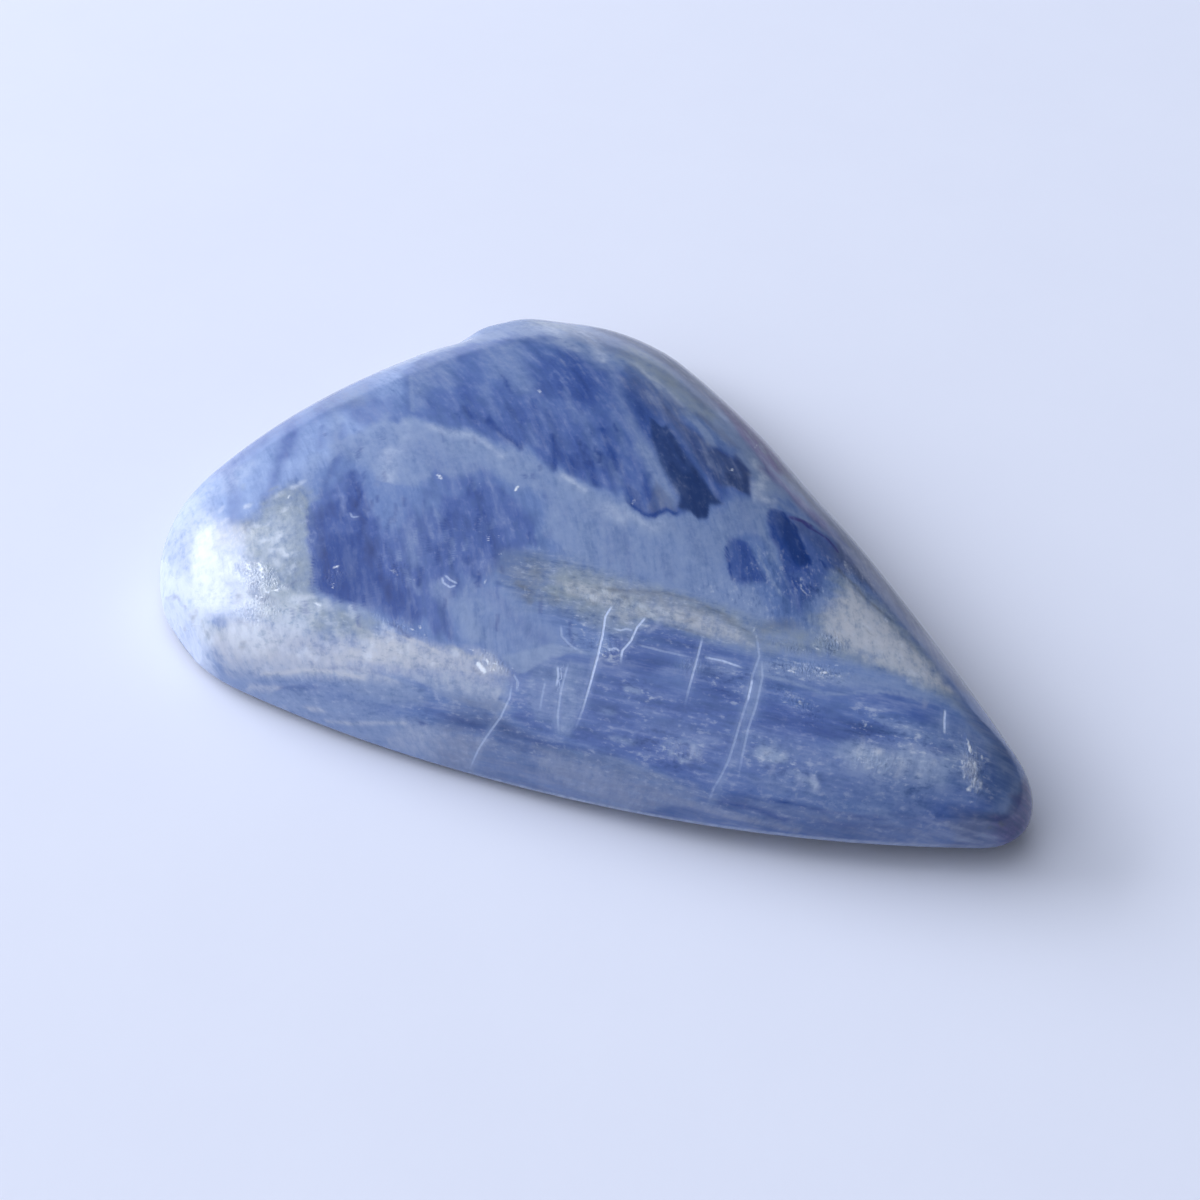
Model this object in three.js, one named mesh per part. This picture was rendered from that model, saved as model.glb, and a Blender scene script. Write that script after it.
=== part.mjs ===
// A free-form kyanite cabochon: one solid stone, cut flat underneath and polished to a low dome.
// Seen from above it is a rounded triangle: a narrow tip and a blunt end with two round lobes.
// Millimetres, +Z up. The origin is on the flat back, under the middle of the stone's box,
// and the tip points along +X.

import * as THREE from 'three';

// Driving dimensions.
const HEIGHT = 6.6;
const GIRDLE_HEIGHT = 0.7;
const BACK_BEVEL = 0.45;
const CROWN = new THREE.Vector2(-1.5, -2);

// The outline's corners, counter-clockwise. Each is a circle that the outline runs round, and
// fullness says how boldly the dome swells above it: 2 is an ellipse, more is a steeper flank.
const TIP = { x: 18.8, y: -5.7, radius: 2.2, fullness: 2.35 };
const FAR_LOBE = { x: -8.5, y: 6.8, radius: 8, fullness: 2.15 };
const NEAR_LOBE = { x: -12, y: -5.7, radius: 9, fullness: 2.6 };
const CORNERS = [TIP, FAR_LOBE, NEAR_LOBE];

// The bowed side that leaves each corner is one large arc.
const FAR_SIDE_RADIUS = 148;
const BLUNT_END_RADIUS = 34;
const NEAR_SIDE_RADIUS = 63;
const SIDE_RADII = [FAR_SIDE_RADIUS, BLUNT_END_RADIUS, NEAR_SIDE_RADIUS];

// Past this distance a corner's fullness gives way to its neighbours'.
const CORNER_REACH = 4.5;

// How far the rings lose the outline's corners on their way up: 0 keeps them, 1 ends in a circle.
const CROWN_ROUNDING = 0.8;

// How finely the surface is divided.
const SPOKES = 120;
const DOME_RINGS = 26;

const stoneMaterial = new THREE.MeshStandardMaterial({
  color: 0x5f7cb4,
  roughness: 0.18,
  metalness: 0,
});

// The centre of the arc of the given radius that touches both corner circles from outside,
// so that it runs into each of them without a kink.
function sideCentre(start, end, radius) {
  const from = new THREE.Vector2(start.x, start.y);
  const along = new THREE.Vector2(end.x, end.y).sub(from);
  const span = along.length();
  const toStart = radius - start.radius;
  const toEnd = radius - end.radius;
  const forward = (toStart ** 2 - toEnd ** 2 + span ** 2) / (2 * span);
  const inward = Math.sqrt(toStart ** 2 - forward ** 2);
  along.normalize();
  const left = new THREE.Vector2(-along.y, along.x);
  return from.addScaledVector(along, forward).addScaledVector(left, inward);
}

function bearing(from, to) {
  return Math.atan2(to.y - from.y, to.x - from.x);
}

// The girdle seen from above: three corner arcs and three side arcs, each touching the next.
function girdlePath() {
  const centres = CORNERS.map((corner, i) => sideCentre(corner, CORNERS[(i + 1) % 3], SIDE_RADII[i]));
  const path = new THREE.Path();
  CORNERS.forEach((corner, i) => {
    const next = CORNERS[(i + 1) % 3];
    const arriving = bearing(centres[(i + 2) % 3], corner);
    const leaving = bearing(centres[i], corner);
    const landing = bearing(centres[i], next);
    path.absarc(corner.x, corner.y, corner.radius, arriving, leaving, false);
    path.absarc(centres[i].x, centres[i].y, SIDE_RADII[i], leaving, landing, false);
  });
  return path;
}

// The fullness of the flank at a point of the girdle, mixed from the corners by their distance.
function fullnessAt(point) {
  let weighted = 0;
  let total = 0;
  for (const corner of CORNERS) {
    const weight = 1 / (point.distanceToSquared(corner) + CORNER_REACH ** 2);
    weighted += weight * corner.fullness;
    total += weight;
  }
  return weighted / total;
}

// One spoke of the stone, from the middle of the back round the girdle and up to the crown.
// Each stop is the share of the way out to the girdle, and the height. Long spokes draw in and
// short ones reach out as they rise, so that no ridge runs from a corner to the crown.
function spokeStops(girdlePoint, meanReach) {
  const reach = girdlePoint.distanceTo(CROWN);
  const stops = [[0, 0], [1 - BACK_BEVEL / reach, 0]];
  const power = 2 / fullnessAt(girdlePoint);
  for (let ring = 0; ring < DOME_RINGS; ring += 1) {
    const rise = (ring / DOME_RINGS) * (Math.PI / 2);
    const share = Math.cos(rise) ** power;
    const evened = share * (meanReach / reach) ** (CROWN_ROUNDING * (1 - share));
    const height = GIRDLE_HEIGHT + (HEIGHT - GIRDLE_HEIGHT) * Math.sin(rise) ** power;
    stops.push([evened, height]);
  }
  stops.push([0, HEIGHT]);
  return stops;
}

// A lathe gives the closed net of spokes and rings, and each of its points is then moved to its
// place on the stone.
function stoneGeometry() {
  const girdle = girdlePath().getSpacedPoints(SPOKES);
  const meanReach = girdle.reduce((sum, point) => sum + point.distanceTo(CROWN), 0) / girdle.length;
  const spokes = girdle.map((point) => spokeStops(point, meanReach));
  const stopCount = spokes[0].length;
  const profile = spokes[0].map(([share, height]) => new THREE.Vector2(share, height));
  const geometry = new THREE.LatheGeometry(profile, SPOKES);
  const position = geometry.getAttribute('position');
  for (let index = 0; index < position.count; index += 1) {
    const spoke = Math.floor(index / stopCount) % SPOKES;
    const [share, height] = spokes[spoke][index % stopCount];
    const place = CROWN.clone().lerp(girdle[spoke], share);
    position.setXYZ(index, place.x, place.y, height);
  }
  geometry.computeVertexNormals();
  return geometry;
}

// The stone is set so that the origin is under the middle of its box.
function makeStone() {
  const geometry = stoneGeometry();
  geometry.computeBoundingBox();
  const middle = geometry.boundingBox.getCenter(new THREE.Vector3());
  const stone = new THREE.Mesh(geometry, stoneMaterial);
  stone.name = 'kyanite_cabochon';
  stone.position.set(-middle.x, -middle.y, 0);
  return stone;
}

const cabochon = new THREE.Group();
cabochon.add(makeStone());

export default cabochon;
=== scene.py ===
# %% [markdown]
# # A polished kyanite cabochon
# Kyanite grows as long flat blades that lie side by side like the fibres of a plank. A cutter has
# ground this piece into a low dome with a flat back, so the blades show as streaks inside the
# polish: navy bundles, milky bands, a cream seam, and thin healed cracks that cross the grain.
# The lesson builds the dome from a few circles, lays its skin out flat to place the markings in
# millimetres, and lets the material turn those markings into fibrous, glossy stone.

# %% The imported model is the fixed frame
import math

import bpy
import numpy as np
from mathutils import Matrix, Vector


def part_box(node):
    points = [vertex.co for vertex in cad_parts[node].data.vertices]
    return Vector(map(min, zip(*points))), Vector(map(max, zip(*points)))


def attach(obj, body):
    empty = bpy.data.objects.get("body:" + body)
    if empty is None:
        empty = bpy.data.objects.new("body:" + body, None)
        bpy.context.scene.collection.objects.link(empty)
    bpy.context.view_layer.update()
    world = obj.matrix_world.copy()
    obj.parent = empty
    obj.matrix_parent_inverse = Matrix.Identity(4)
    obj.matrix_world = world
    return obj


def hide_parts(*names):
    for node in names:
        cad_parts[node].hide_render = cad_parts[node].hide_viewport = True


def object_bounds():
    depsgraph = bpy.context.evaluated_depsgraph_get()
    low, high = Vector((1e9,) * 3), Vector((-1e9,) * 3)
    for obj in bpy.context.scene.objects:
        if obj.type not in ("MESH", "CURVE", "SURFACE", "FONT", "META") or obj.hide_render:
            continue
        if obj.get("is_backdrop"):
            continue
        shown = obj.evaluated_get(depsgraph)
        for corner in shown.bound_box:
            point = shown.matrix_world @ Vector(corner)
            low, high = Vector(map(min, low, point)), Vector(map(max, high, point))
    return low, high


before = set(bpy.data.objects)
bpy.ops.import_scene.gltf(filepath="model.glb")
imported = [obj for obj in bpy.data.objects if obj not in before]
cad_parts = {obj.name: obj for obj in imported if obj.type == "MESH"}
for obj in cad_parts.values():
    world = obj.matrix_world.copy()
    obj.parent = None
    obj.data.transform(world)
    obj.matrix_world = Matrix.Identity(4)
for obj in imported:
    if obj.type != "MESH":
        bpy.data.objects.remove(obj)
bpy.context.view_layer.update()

MM = 0.001
LOW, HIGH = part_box("kyanite_cabochon")
STONE_HEIGHT = (HIGH.z - LOW.z) / MM
print("stone, mm:", [round((high - low) / MM, 2) for low, high in zip(LOW, HIGH)])

# %% [markdown]
# ## The camera
# A small stone is looked at from close by and from well above, so that both the dome and its near
# flank are seen. The camera is placed by an azimuth, an elevation and a distance from a target
# near the middle of the stone, which is easier to think about than a bare position.

# %% The camera looks down on the stone
CAMERA_AZIMUTH = math.radians(28.254)
CAMERA_ELEVATION = math.radians(43)
CAMERA_DISTANCE = 107.972
CAMERA_VIEW = math.radians(28)
CAMERA_TARGET = Vector((-0.113, -3.794, 2.5))
LOOK = Vector((
    -math.sin(CAMERA_AZIMUTH) * math.cos(CAMERA_ELEVATION),
    math.cos(CAMERA_AZIMUTH) * math.cos(CAMERA_ELEVATION),
    -math.sin(CAMERA_ELEVATION),
))
camera_data = bpy.data.cameras.new("camera")
camera_data.angle = CAMERA_VIEW
camera_data.clip_start = 0.005
camera_data.dof.use_dof = False
camera = bpy.data.objects.new("camera", camera_data)
camera.location = (CAMERA_TARGET - LOOK * CAMERA_DISTANCE) * MM
camera.rotation_euler = LOOK.to_track_quat("-Z", "Y").to_euler()
bpy.context.scene.collection.objects.link(camera)
bpy.context.scene.camera = camera
print("camera at, mm:", [round(c / MM, 1) for c in camera.location])

# %% [markdown]
# ## The girdle
# The girdle is the stone's widest line, the outline that a setting would grip. It could be a
# free curve, but three round corners joined by three slightly bowed sides say the same thing with
# far fewer numbers, and every piece of it touches the next without a kink.

# %% Three corner arcs and three side arcs
GIRDLE_HEIGHT = 0.7
CROWN_ON_PLAN = np.array([-1.5, -2.0])
CORNER_CENTRES = np.array([(18.8, -5.7), (-8.5, 6.8), (-12.0, -5.7)])
CORNER_RADII = [2.2, 8.0, 9.0]
CORNER_FULLNESS = np.array([2.35, 2.15, 2.6])
SIDE_RADII = [148.0, 34.0, 63.0]
POINT_SPACING = 0.04
CORNERS = range(3)


def side_centre(i):
    """The centre of the side arc that touches corner i and the next corner from outside."""
    j = (i + 1) % 3
    along = CORNER_CENTRES[j] - CORNER_CENTRES[i]
    span = np.hypot(*along)
    to_start = SIDE_RADII[i] - CORNER_RADII[i]
    to_end = SIDE_RADII[i] - CORNER_RADII[j]
    forward = (to_start**2 - to_end**2 + span**2) / (2 * span)
    inward = math.sqrt(to_start**2 - forward**2)
    along = along / span
    left = np.array([-along[1], along[0]])
    return CORNER_CENTRES[i] + along * forward + left * inward


def bearing(start, end):
    return math.atan2(end[1] - start[1], end[0] - start[0])


def arc(centre, radius, first, last):
    sweep = (last - first) % (2 * math.pi)
    turns = first + sweep * np.arange(0, 1, POINT_SPACING / (radius * sweep))
    return centre + radius * np.stack([np.cos(turns), np.sin(turns)], axis=1)


def girdle_points():
    centres = [side_centre(i) for i in CORNERS]
    pieces = []
    for i in CORNERS:
        corner = CORNER_CENTRES[i]
        arriving = bearing(centres[i - 1], corner)
        leaving = bearing(centres[i], corner)
        landing = bearing(centres[i], CORNER_CENTRES[(i + 1) % 3])
        pieces.append(arc(corner, CORNER_RADII[i], arriving, leaving))
        pieces.append(arc(centres[i], SIDE_RADII[i], leaving, landing))
    return np.concatenate(pieces)


GIRDLE = girdle_points()
CENTRE_ON_PLAN = (GIRDLE.min(axis=0) + GIRDLE.max(axis=0)) / 2
CROWN = CROWN_ON_PLAN - CENTRE_ON_PLAN
print("girdle, mm:", (GIRDLE.max(axis=0) - GIRDLE.min(axis=0)).round(2))

# %% [markdown]
# ## The dome
# A cabochon's section is nearly flat on top and turns down steeply at the girdle. A superellipse
# has just that curve, with one number for how full the shoulder is. Each spoke from the crown to
# the girdle gets one, and is then measured along its surface, because the skin of the dome is
# where the markings will be placed. The corners differ in fullness, and near the crown all spokes
# are evened out, so that the top is round and not ridged.

# %% Spokes from the crown to the girdle
CORNER_REACH = 4.5
CROWN_ROUNDING = 0.8
SPOKE_COUNT = 1440
SECTION_POINTS = 900
RINGS = 170


def around(bearings, values, wanted):
    """Reads a closed table of values by bearing."""
    order = np.argsort(bearings)
    turns = np.concatenate([bearings[order] + turn for turn in (-2 * math.pi, 0, 2 * math.pi)])
    return np.interp(wanted, turns, np.tile(values[order], 3))


outward = GIRDLE - CROWN_ON_PLAN
girdle_bearing = np.arctan2(outward[:, 1], outward[:, 0])
girdle_reach = np.hypot(*outward.T)
pull = 1 / (((GIRDLE[:, None] - CORNER_CENTRES) ** 2).sum(axis=2) + CORNER_REACH**2)
girdle_fullness = pull @ CORNER_FULLNESS / pull.sum(axis=1)

spoke_bearing = np.linspace(-math.pi, math.pi, SPOKE_COUNT, endpoint=False)
spoke_reach = around(girdle_bearing, girdle_reach, spoke_bearing)[:, None]
spoke_power = 2 / around(girdle_bearing, girdle_fullness, spoke_bearing)[:, None]
rise = np.linspace(math.pi / 2, 0, SECTION_POINTS)
out_share = np.cos(rise).clip(0, 1) ** spoke_power
out_share[:, 0] = 0
evened = out_share * (girdle_reach.mean() / spoke_reach) ** (CROWN_ROUNDING * (1 - out_share))
spoke_out = evened * spoke_reach
spoke_up = GIRDLE_HEIGHT + (STONE_HEIGHT - GIRDLE_HEIGHT) * np.sin(rise) ** spoke_power
steps = np.hypot(np.diff(spoke_out), np.diff(spoke_up))
spoke_skin = np.concatenate([np.zeros((SPOKE_COUNT, 1)), steps.cumsum(axis=1)], axis=1)
print("skin from crown to girdle, mm:", spoke_skin[:, -1].min().round(1), spoke_skin[:, -1].max().round(1))

# %% [markdown]
# ## Rings of vertices
# A disc is best covered by rings that each hold six vertices more than the one inside, because
# all the triangles come out nearly the same size. The rings are spaced evenly along the skin,
# so that the steep flanks are as fine as the flat top. Every vertex also keeps its place on the
# skin laid out flat, in millimetres from the crown along its own spoke.

# %% Rings spaced evenly along the skin
ring_share = np.linspace(0, 1, RINGS + 1)
out_at = np.stack([np.interp(ring_share * s[-1], s, o) for s, o in zip(spoke_skin, spoke_out)])
up_at = np.stack([np.interp(ring_share * s[-1], s, u) for s, u in zip(spoke_skin, spoke_up)])


def ring(k):
    """The place and the skin place of ring k's vertices."""
    count = 6 * k
    turn = np.linspace(-math.pi, math.pi, count, endpoint=False)
    ways = np.stack([np.cos(turn), np.sin(turn)], axis=1)
    out = around(spoke_bearing, out_at[:, k], turn)
    up = around(spoke_bearing, up_at[:, k], turn)
    skin = around(spoke_bearing, spoke_skin[:, -1], turn) * ring_share[k]
    place = np.column_stack([CROWN + ways * out[:, None], up])
    return place, CROWN + ways * skin[:, None], ways


places = [np.array([[*CROWN, STONE_HEIGHT]])]
skins = [CROWN[None]]
for k in range(1, RINGS + 1):
    place, skin, ways = ring(k)
    places.append(place)
    skins.append(skin)
DOME_COUNT = sum(len(p) for p in places)
rim_place, rim_skin, rim_ways = places[-1], skins[-1], ways
print("dome vertices:", DOME_COUNT)

# %% [markdown]
# ## The edge under the girdle
# Below its widest line the stone is bevelled, and the grinder leaves no knife edge: it rolls over
# in about a quarter of a millimetre, and then slopes in by a millimetre and a half to the flat
# back. A short curve of extra rings makes the roll, so the edge catches a thin line of light of
# its own, and the slope keeps the thin shadow that lies under the edge.

# %% The rolled edge, the bevel and the rim of the back
# each stop: how far inside the girdle, and how high
EDGE_STOPS = [(0.02, 0.62), (0.07, 0.52), (0.16, 0.44), (0.62, 0.16), (1.5, 0.0)]
edge_skin = 0
last_stop = (0, GIRDLE_HEIGHT)
for inside, height in EDGE_STOPS:
    edge_skin += math.dist((inside, height), last_stop)
    level = np.full(len(rim_ways), height)
    places.append(np.column_stack([rim_place[:, :2] - rim_ways * inside, level]))
    skins.append(rim_skin + rim_ways * edge_skin)
    last_stop = (inside, height)
places.append(np.array([[*CROWN, 0.0]]))
skins.append(CROWN[None])
PLACE = np.concatenate(places)
SKIN = np.concatenate(skins)
print("all vertices:", len(PLACE))

# %% [markdown]
# ## Smooth randomness
# Hand polishing, ragged blade ends and drifting colour all need numbers that wander smoothly. A
# small lattice of random values, read between its points with an eased curve, gives that, and a
# fixed seed gives the same stone every time.

# %% A wandering value between -1 and 1
LATTICE = 64


def wander(x, y, seed):
    """Smooth noise with features about one unit wide."""
    lattice = np.random.default_rng(seed).uniform(-1, 1, (LATTICE, LATTICE))
    column, row = np.floor(x).astype(int), np.floor(y).astype(int)
    across, up = x - column, y - row
    across, up = across**2 * (3 - 2 * across), up**2 * (3 - 2 * up)
    near = lattice[row % LATTICE, column % LATTICE] * (1 - across)
    near += lattice[row % LATTICE, (column + 1) % LATTICE] * across
    far = lattice[(row + 1) % LATTICE, column % LATTICE] * (1 - across)
    far += lattice[(row + 1) % LATTICE, (column + 1) % LATTICE] * across
    return near * (1 - up) + far * up


def ease(value):
    value = np.clip(value, 0, 1)
    return value**2 * (3 - 2 * value)


# %% [markdown]
# ## Hand-cut departures
# No hand-held stone is an exact formula. Moving the vertices themselves is the honest way to say
# so, since the shape then holds from every side. First come a very slight roll over the top and
# the near rim, which lifts off the table towards the tip. The rim also moves towards the camera
# as it rises, so the outline stays where it was and only the shadow under it grows.

# %% A slight roll, and the rim lifted towards the tip
ROLL_HEIGHT = 0.05
ROLL_LENGTH, ROLL_WIDTH = 6.5, 5
TIP_LIFT = 0.9
UNDERSIDE = 0.3
dome = np.arange(len(PLACE)) < DOME_COUNT
from_crown = SKIN - CROWN
skin_at_girdle = around(spoke_bearing, spoke_skin[:, -1], np.arctan2(from_crown[:, 1], from_crown[:, 0]))
girdle_share = np.hypot(*from_crown.T) / skin_at_girdle
roll = wander(PLACE[:, 0] / ROLL_LENGTH, PLACE[:, 1] / ROLL_WIDTH, 4)
PLACE[:, 2] += np.where(dome, ROLL_HEIGHT * roll * (1 - girdle_share**4), 0)

tipward = ease((PLACE[:, 0] + 2) / 18)
nearside = ease((3 - PLACE[:, 1]) / 6)
raised = TIP_LIFT * tipward * nearside * ease(girdle_share * 2 - 0.9) * (PLACE[:, 2] > UNDERSIDE)
toward_camera = -np.array([LOOK.x, LOOK.y]) / math.hypot(LOOK.x, LOOK.y)
PLACE[:, :2] += np.outer(raised / math.tan(CAMERA_ELEVATION), toward_camera)
PLACE[:, 2] += raised
print("rim lifted by up to, mm:", raised.max().round(2))

# %% [markdown]
# ## Swellings and hollows
# The far side of the stone isn't an even curve: it has a notch at the left, a small lobe beside
# it, and a slightly hollow right side. Each is a soft bell-shaped push, outwards and upwards.

# %% Low bells on the far side
SWELLINGS = [
    # place on the skin, reach, height
    ((-15.5, 9.4), 0.8, -0.16),
    ((-14.9, 10.9), 1.0, 0.2),
    ((-13.4, 12.2), 1.6, 0.3),
    ((-6.4, 13.9), 3.0, -0.13),
    ((5.5, 6.0), 3.4, -0.2),
]
SHARE_OUT, SHARE_UP = 0.6, 0.8
lean = from_crown / np.hypot(*from_crown.T).clip(1)[:, None]
for middle, reach, height in SWELLINGS:
    push = height * dome * np.exp(-np.sum((SKIN - middle) ** 2, axis=1) / reach**2)
    PLACE[:, :2] += lean * (SHARE_OUT * push)[:, None]
    PLACE[:, 2] += SHARE_UP * push
print("swellings and hollows:", len(SWELLINGS))

# %% [markdown]
# ## The chip
# A small flat is ground off the blunt end. Three points on the dome fix its plane, and every
# vertex that stands proud of the plane is pressed back onto it.

# %% The flat at the blunt end
def on_dome(x, y):
    """The place on the dome of a point on the flat skin."""
    return PLACE[:DOME_COUNT][np.hypot(*(SKIN[:DOME_COUNT] - (x, y)).T).argmin()].copy()


CHIP_CORNERS = [on_dome(-19.0, -13.1), on_dome(-16.4, -14.2), on_dome(-16.6, -16.0)]
chip_normal = np.cross(CHIP_CORNERS[1] - CHIP_CORNERS[0], CHIP_CORNERS[2] - CHIP_CORNERS[0])
chip_normal /= np.linalg.norm(chip_normal) * np.sign(chip_normal @ (CHIP_CORNERS[0] - (*CROWN, 0)))
proud = (PLACE - CHIP_CORNERS[0]) @ chip_normal
chipped = (proud > 0) & (PLACE[:, 2] > UNDERSIDE)
PLACE[chipped] -= np.outer(proud[chipped], chip_normal)
print("chip: vertices", chipped.sum(), "deepest, mm", proud[chipped].max().round(2))

# %% [markdown]
# ## The grain
# Kyanite's blades bend a little through the stone. The long family crosses it from the far left
# to the near right and steepens on the way. A second family follows the near edge. Each family
# is a pair of coordinates, along and across its fibres, and noise that is stretched along them
# looks like grain. Shifting points along the fibre, by an amount that changes only across it,
# gives every marking the ragged comb ends of broken blades.

# %% Two families of fibres
LONG_GRAIN = dict(angle=-50, bend=0.0175, seed=11)
EDGE_GRAIN = dict(angle=14, bend=-0.006, seed=23)


def way_at(degrees):
    """A unit step at an angle, and the same step turned a quarter to the left."""
    turn = math.radians(degrees)
    return np.array([math.cos(turn), math.sin(turn)]), np.array([-math.sin(turn), math.cos(turn)])


def grain_frame(grain):
    """How far along and how far across the fibres each vertex lies."""
    along_way, across_way = way_at(grain["angle"])
    along = SKIN @ along_way
    return along, SKIN @ across_way + grain["bend"] * along**2 / 2


def combed(grain, reach):
    """The skin places, shifted along the fibres so that markings end in ragged teeth."""
    along, across = grain_frame(grain)
    shift = wander(across / 0.34, along / 9, grain["seed"])
    shift += 0.8 * wander(across / 1.1, along / 14, grain["seed"] + 1)
    return SKIN + np.outer(reach * shift, way_at(grain["angle"])[0])


LONG = combed(LONG_GRAIN, 0.42)
EDGE = combed(EDGE_GRAIN, 0.5)
STILL = SKIN + 0.1 * np.column_stack([wander(*SKIN.T / 0.5, seed) for seed in (31, 32)])
print("grain families laid over", len(SKIN), "vertices")

# %% [markdown]
# ## Pens for the markings
# Two pens draw everything inside the stone. A streak is a line with a width and a soft edge, and a
# patch is a closed outline with a soft edge. Both give each vertex a value from 0 to 1, which is
# added to one of the stone's pigments. They are drawn on the skin in millimetres, and the set of
# points that they are measured on sets their edge: LONG and EDGE give combed ends along the two
# grains, STILL a slightly uneven edge, and SKIN an exact one. Four fields aren't colours: glint,
# rough and mottle say where the stone sparkles, is worn or crumbles, and dull where it has lost
# its polish.

# %% Streaks and patches
PIGMENTS = "sky deep milk khaki cream pearl slate violet ink navy moss glint rough mottle dull".split()
FAR_AWAY = 1e3
pigment = {name: np.zeros(len(SKIN)) for name in PIGMENTS}


def to_segment(points, start, end):
    """The distance to a segment, the share along it, and the side."""
    way = np.subtract(end, start)
    offset = points - start
    part = (offset @ way / (way @ way)).clip(0, 1)
    side = np.sign(way[0] * offset[:, 1] - way[1] * offset[:, 0])
    return np.hypot(*(offset - np.outer(part, way)).T), part, side


def streak(points, path, width, soft):
    distance = np.full(len(points), FAR_AWAY)
    for start, end in zip(path, path[1:]):
        distance = np.minimum(distance, to_segment(points, start, end)[0])
    return ease(0.5 + (width / 2 - distance) / soft)


def patch(points, outline, soft):
    distance = np.full(len(points), FAR_AWAY)
    inside = np.zeros(len(points), bool)
    x, y = points.T
    for (x0, y0), (x1, y1) in zip(outline, outline[1:] + outline[:1]):
        distance = np.minimum(distance, to_segment(points, (x0, y0), (x1, y1))[0])
        if y0 != y1:
            inside ^= ((y0 > y) != (y1 > y)) & (x < x0 + (y - y0) * (x1 - x0) / (y1 - y0))
    return ease(0.5 + np.where(inside, distance, -distance) / soft)


def lay(name, amount):
    """Adds pigment where there is room for it."""
    pigment[name] = 1 - (1 - pigment[name]) * (1 - amount)


def lift(name, amount):
    """Takes pigment away."""
    pigment[name] = pigment[name] * (1 - amount)


def streaks(name, points, rows):
    """Each row is a path, a width, a softness and a strength."""
    for path, width, soft, strength in rows:
        lay(name, strength * streak(points, path, width, soft))


def patches(name, points, rows):
    """Each row is an outline, a softness and a strength."""
    for outline, soft, strength in rows:
        lay(name, strength * patch(points, outline, soft))


print("pigments:", ", ".join(PIGMENTS))

# %% [markdown]
# ## The great blue bundle
# The far half of the stone is one thick bundle of saturated blue blades. It ends in a sharp ragged
# line where the blades were broken across, and its darkest blade lies along its right side. The
# outline is laid first, faintly, and the streaks inside it are then laid one by one.

# %% The bundle, its streaks and its dark blade
BUNDLE = [
    (-15.6, 4.4), (-14.4, 6.8), (-12.8, 8.8), (-10.6, 10), (-8, 9.4), (-6, 8.2), (-3.2, 7),
    (-1, 5.8), (0.4, 5.2), (2.4, 4.8), (3.9, 3.6), (4.2, 2.4), (3.3, 2.1), (3.5, 0.6), (2.9, -0.7),
    (2.1, -1.2), (0.6, -1.8), (-0.2, -1.3), (-1, -0.9), (-2, -1.1), (-4, -0.9), (-5.4, -0.3),
    (-8, -0.1), (-11.2, -0.2), (-12.2, -0.4), (-13.6, 1.8),
]
patches("deep", LONG, [
    (BUNDLE, 0.5, 0.42),
    ([(-9.6, 3.2), (-8, 5), (-5.6, 8.6), (-1, 5.8), (0.4, 5.2), (2.4, 4.8), (3.9, 3.6), (4.2, 2.4),
      (3.4, 1), (2.9, -0.7), (0.6, -1.8), (-1, -0.9), (-4, -0.9), (-5.4, -0.3), (-9.4, -0.1)], 0.6, 0.34),
    ([(-9, 8.4), (-6.6, 8), (-4.8, 6.2), (-5.2, 4), (-7.6, 4.4), (-9.2, 6.4)], 1.4, 0.58),
    ([(-8.4, 2.6), (-6.4, 3.4), (-3.4, 2), (-0.4, 0.4), (-0.6, -1), (-4, -0.8), (-7.6, 0)], 0.9, 0.3),
    ([(-13, 4), (-12, 4.6), (-10.2, 3), (-8.4, 0.6), (-9.6, 0.2), (-11.6, 1.6)], 1, 0.32),
    ([(-16, 0.8), (-13.9, 1.2), (-12.4, -0.5), (-12.8, -1), (-14.8, -0.8)], 0.9, 0.4),
])
patches("navy", LONG, [
    ([(-1.9, 4.6), (-1.2, 3.2), (0, 1.8), (1, 0.8), (1.9, 0), (2.1, -0.6), (2.8, -0.8), (3.2, -0.2),
      (3.45, 0.9), (2.9, 1.1), (2, 1.9), (0.7, 3.1), (-0.5, 4.2), (-1.3, 4.9)], 0.3, 0.75),
    ([(0.5, 1.6), (2, 0), (2.2, -0.6), (2.9, -0.7), (3.4, 0.9), (2.2, 1.7), (1.2, 2.4)], 0.5, 0.8),
    ([(3.2, 2.3), (4.1, 2.4), (4, 3.2), (3.4, 3.6), (2.8, 3)], 0.4, 0.55),
    ([(0.8, 3.7), (1.5, 4.5), (2.4, 4.7), (3.6, 4.1), (4.1, 2.6), (3.2, 2.1), (2.4, 2.4)], 0.3, 0.35),
])
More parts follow.
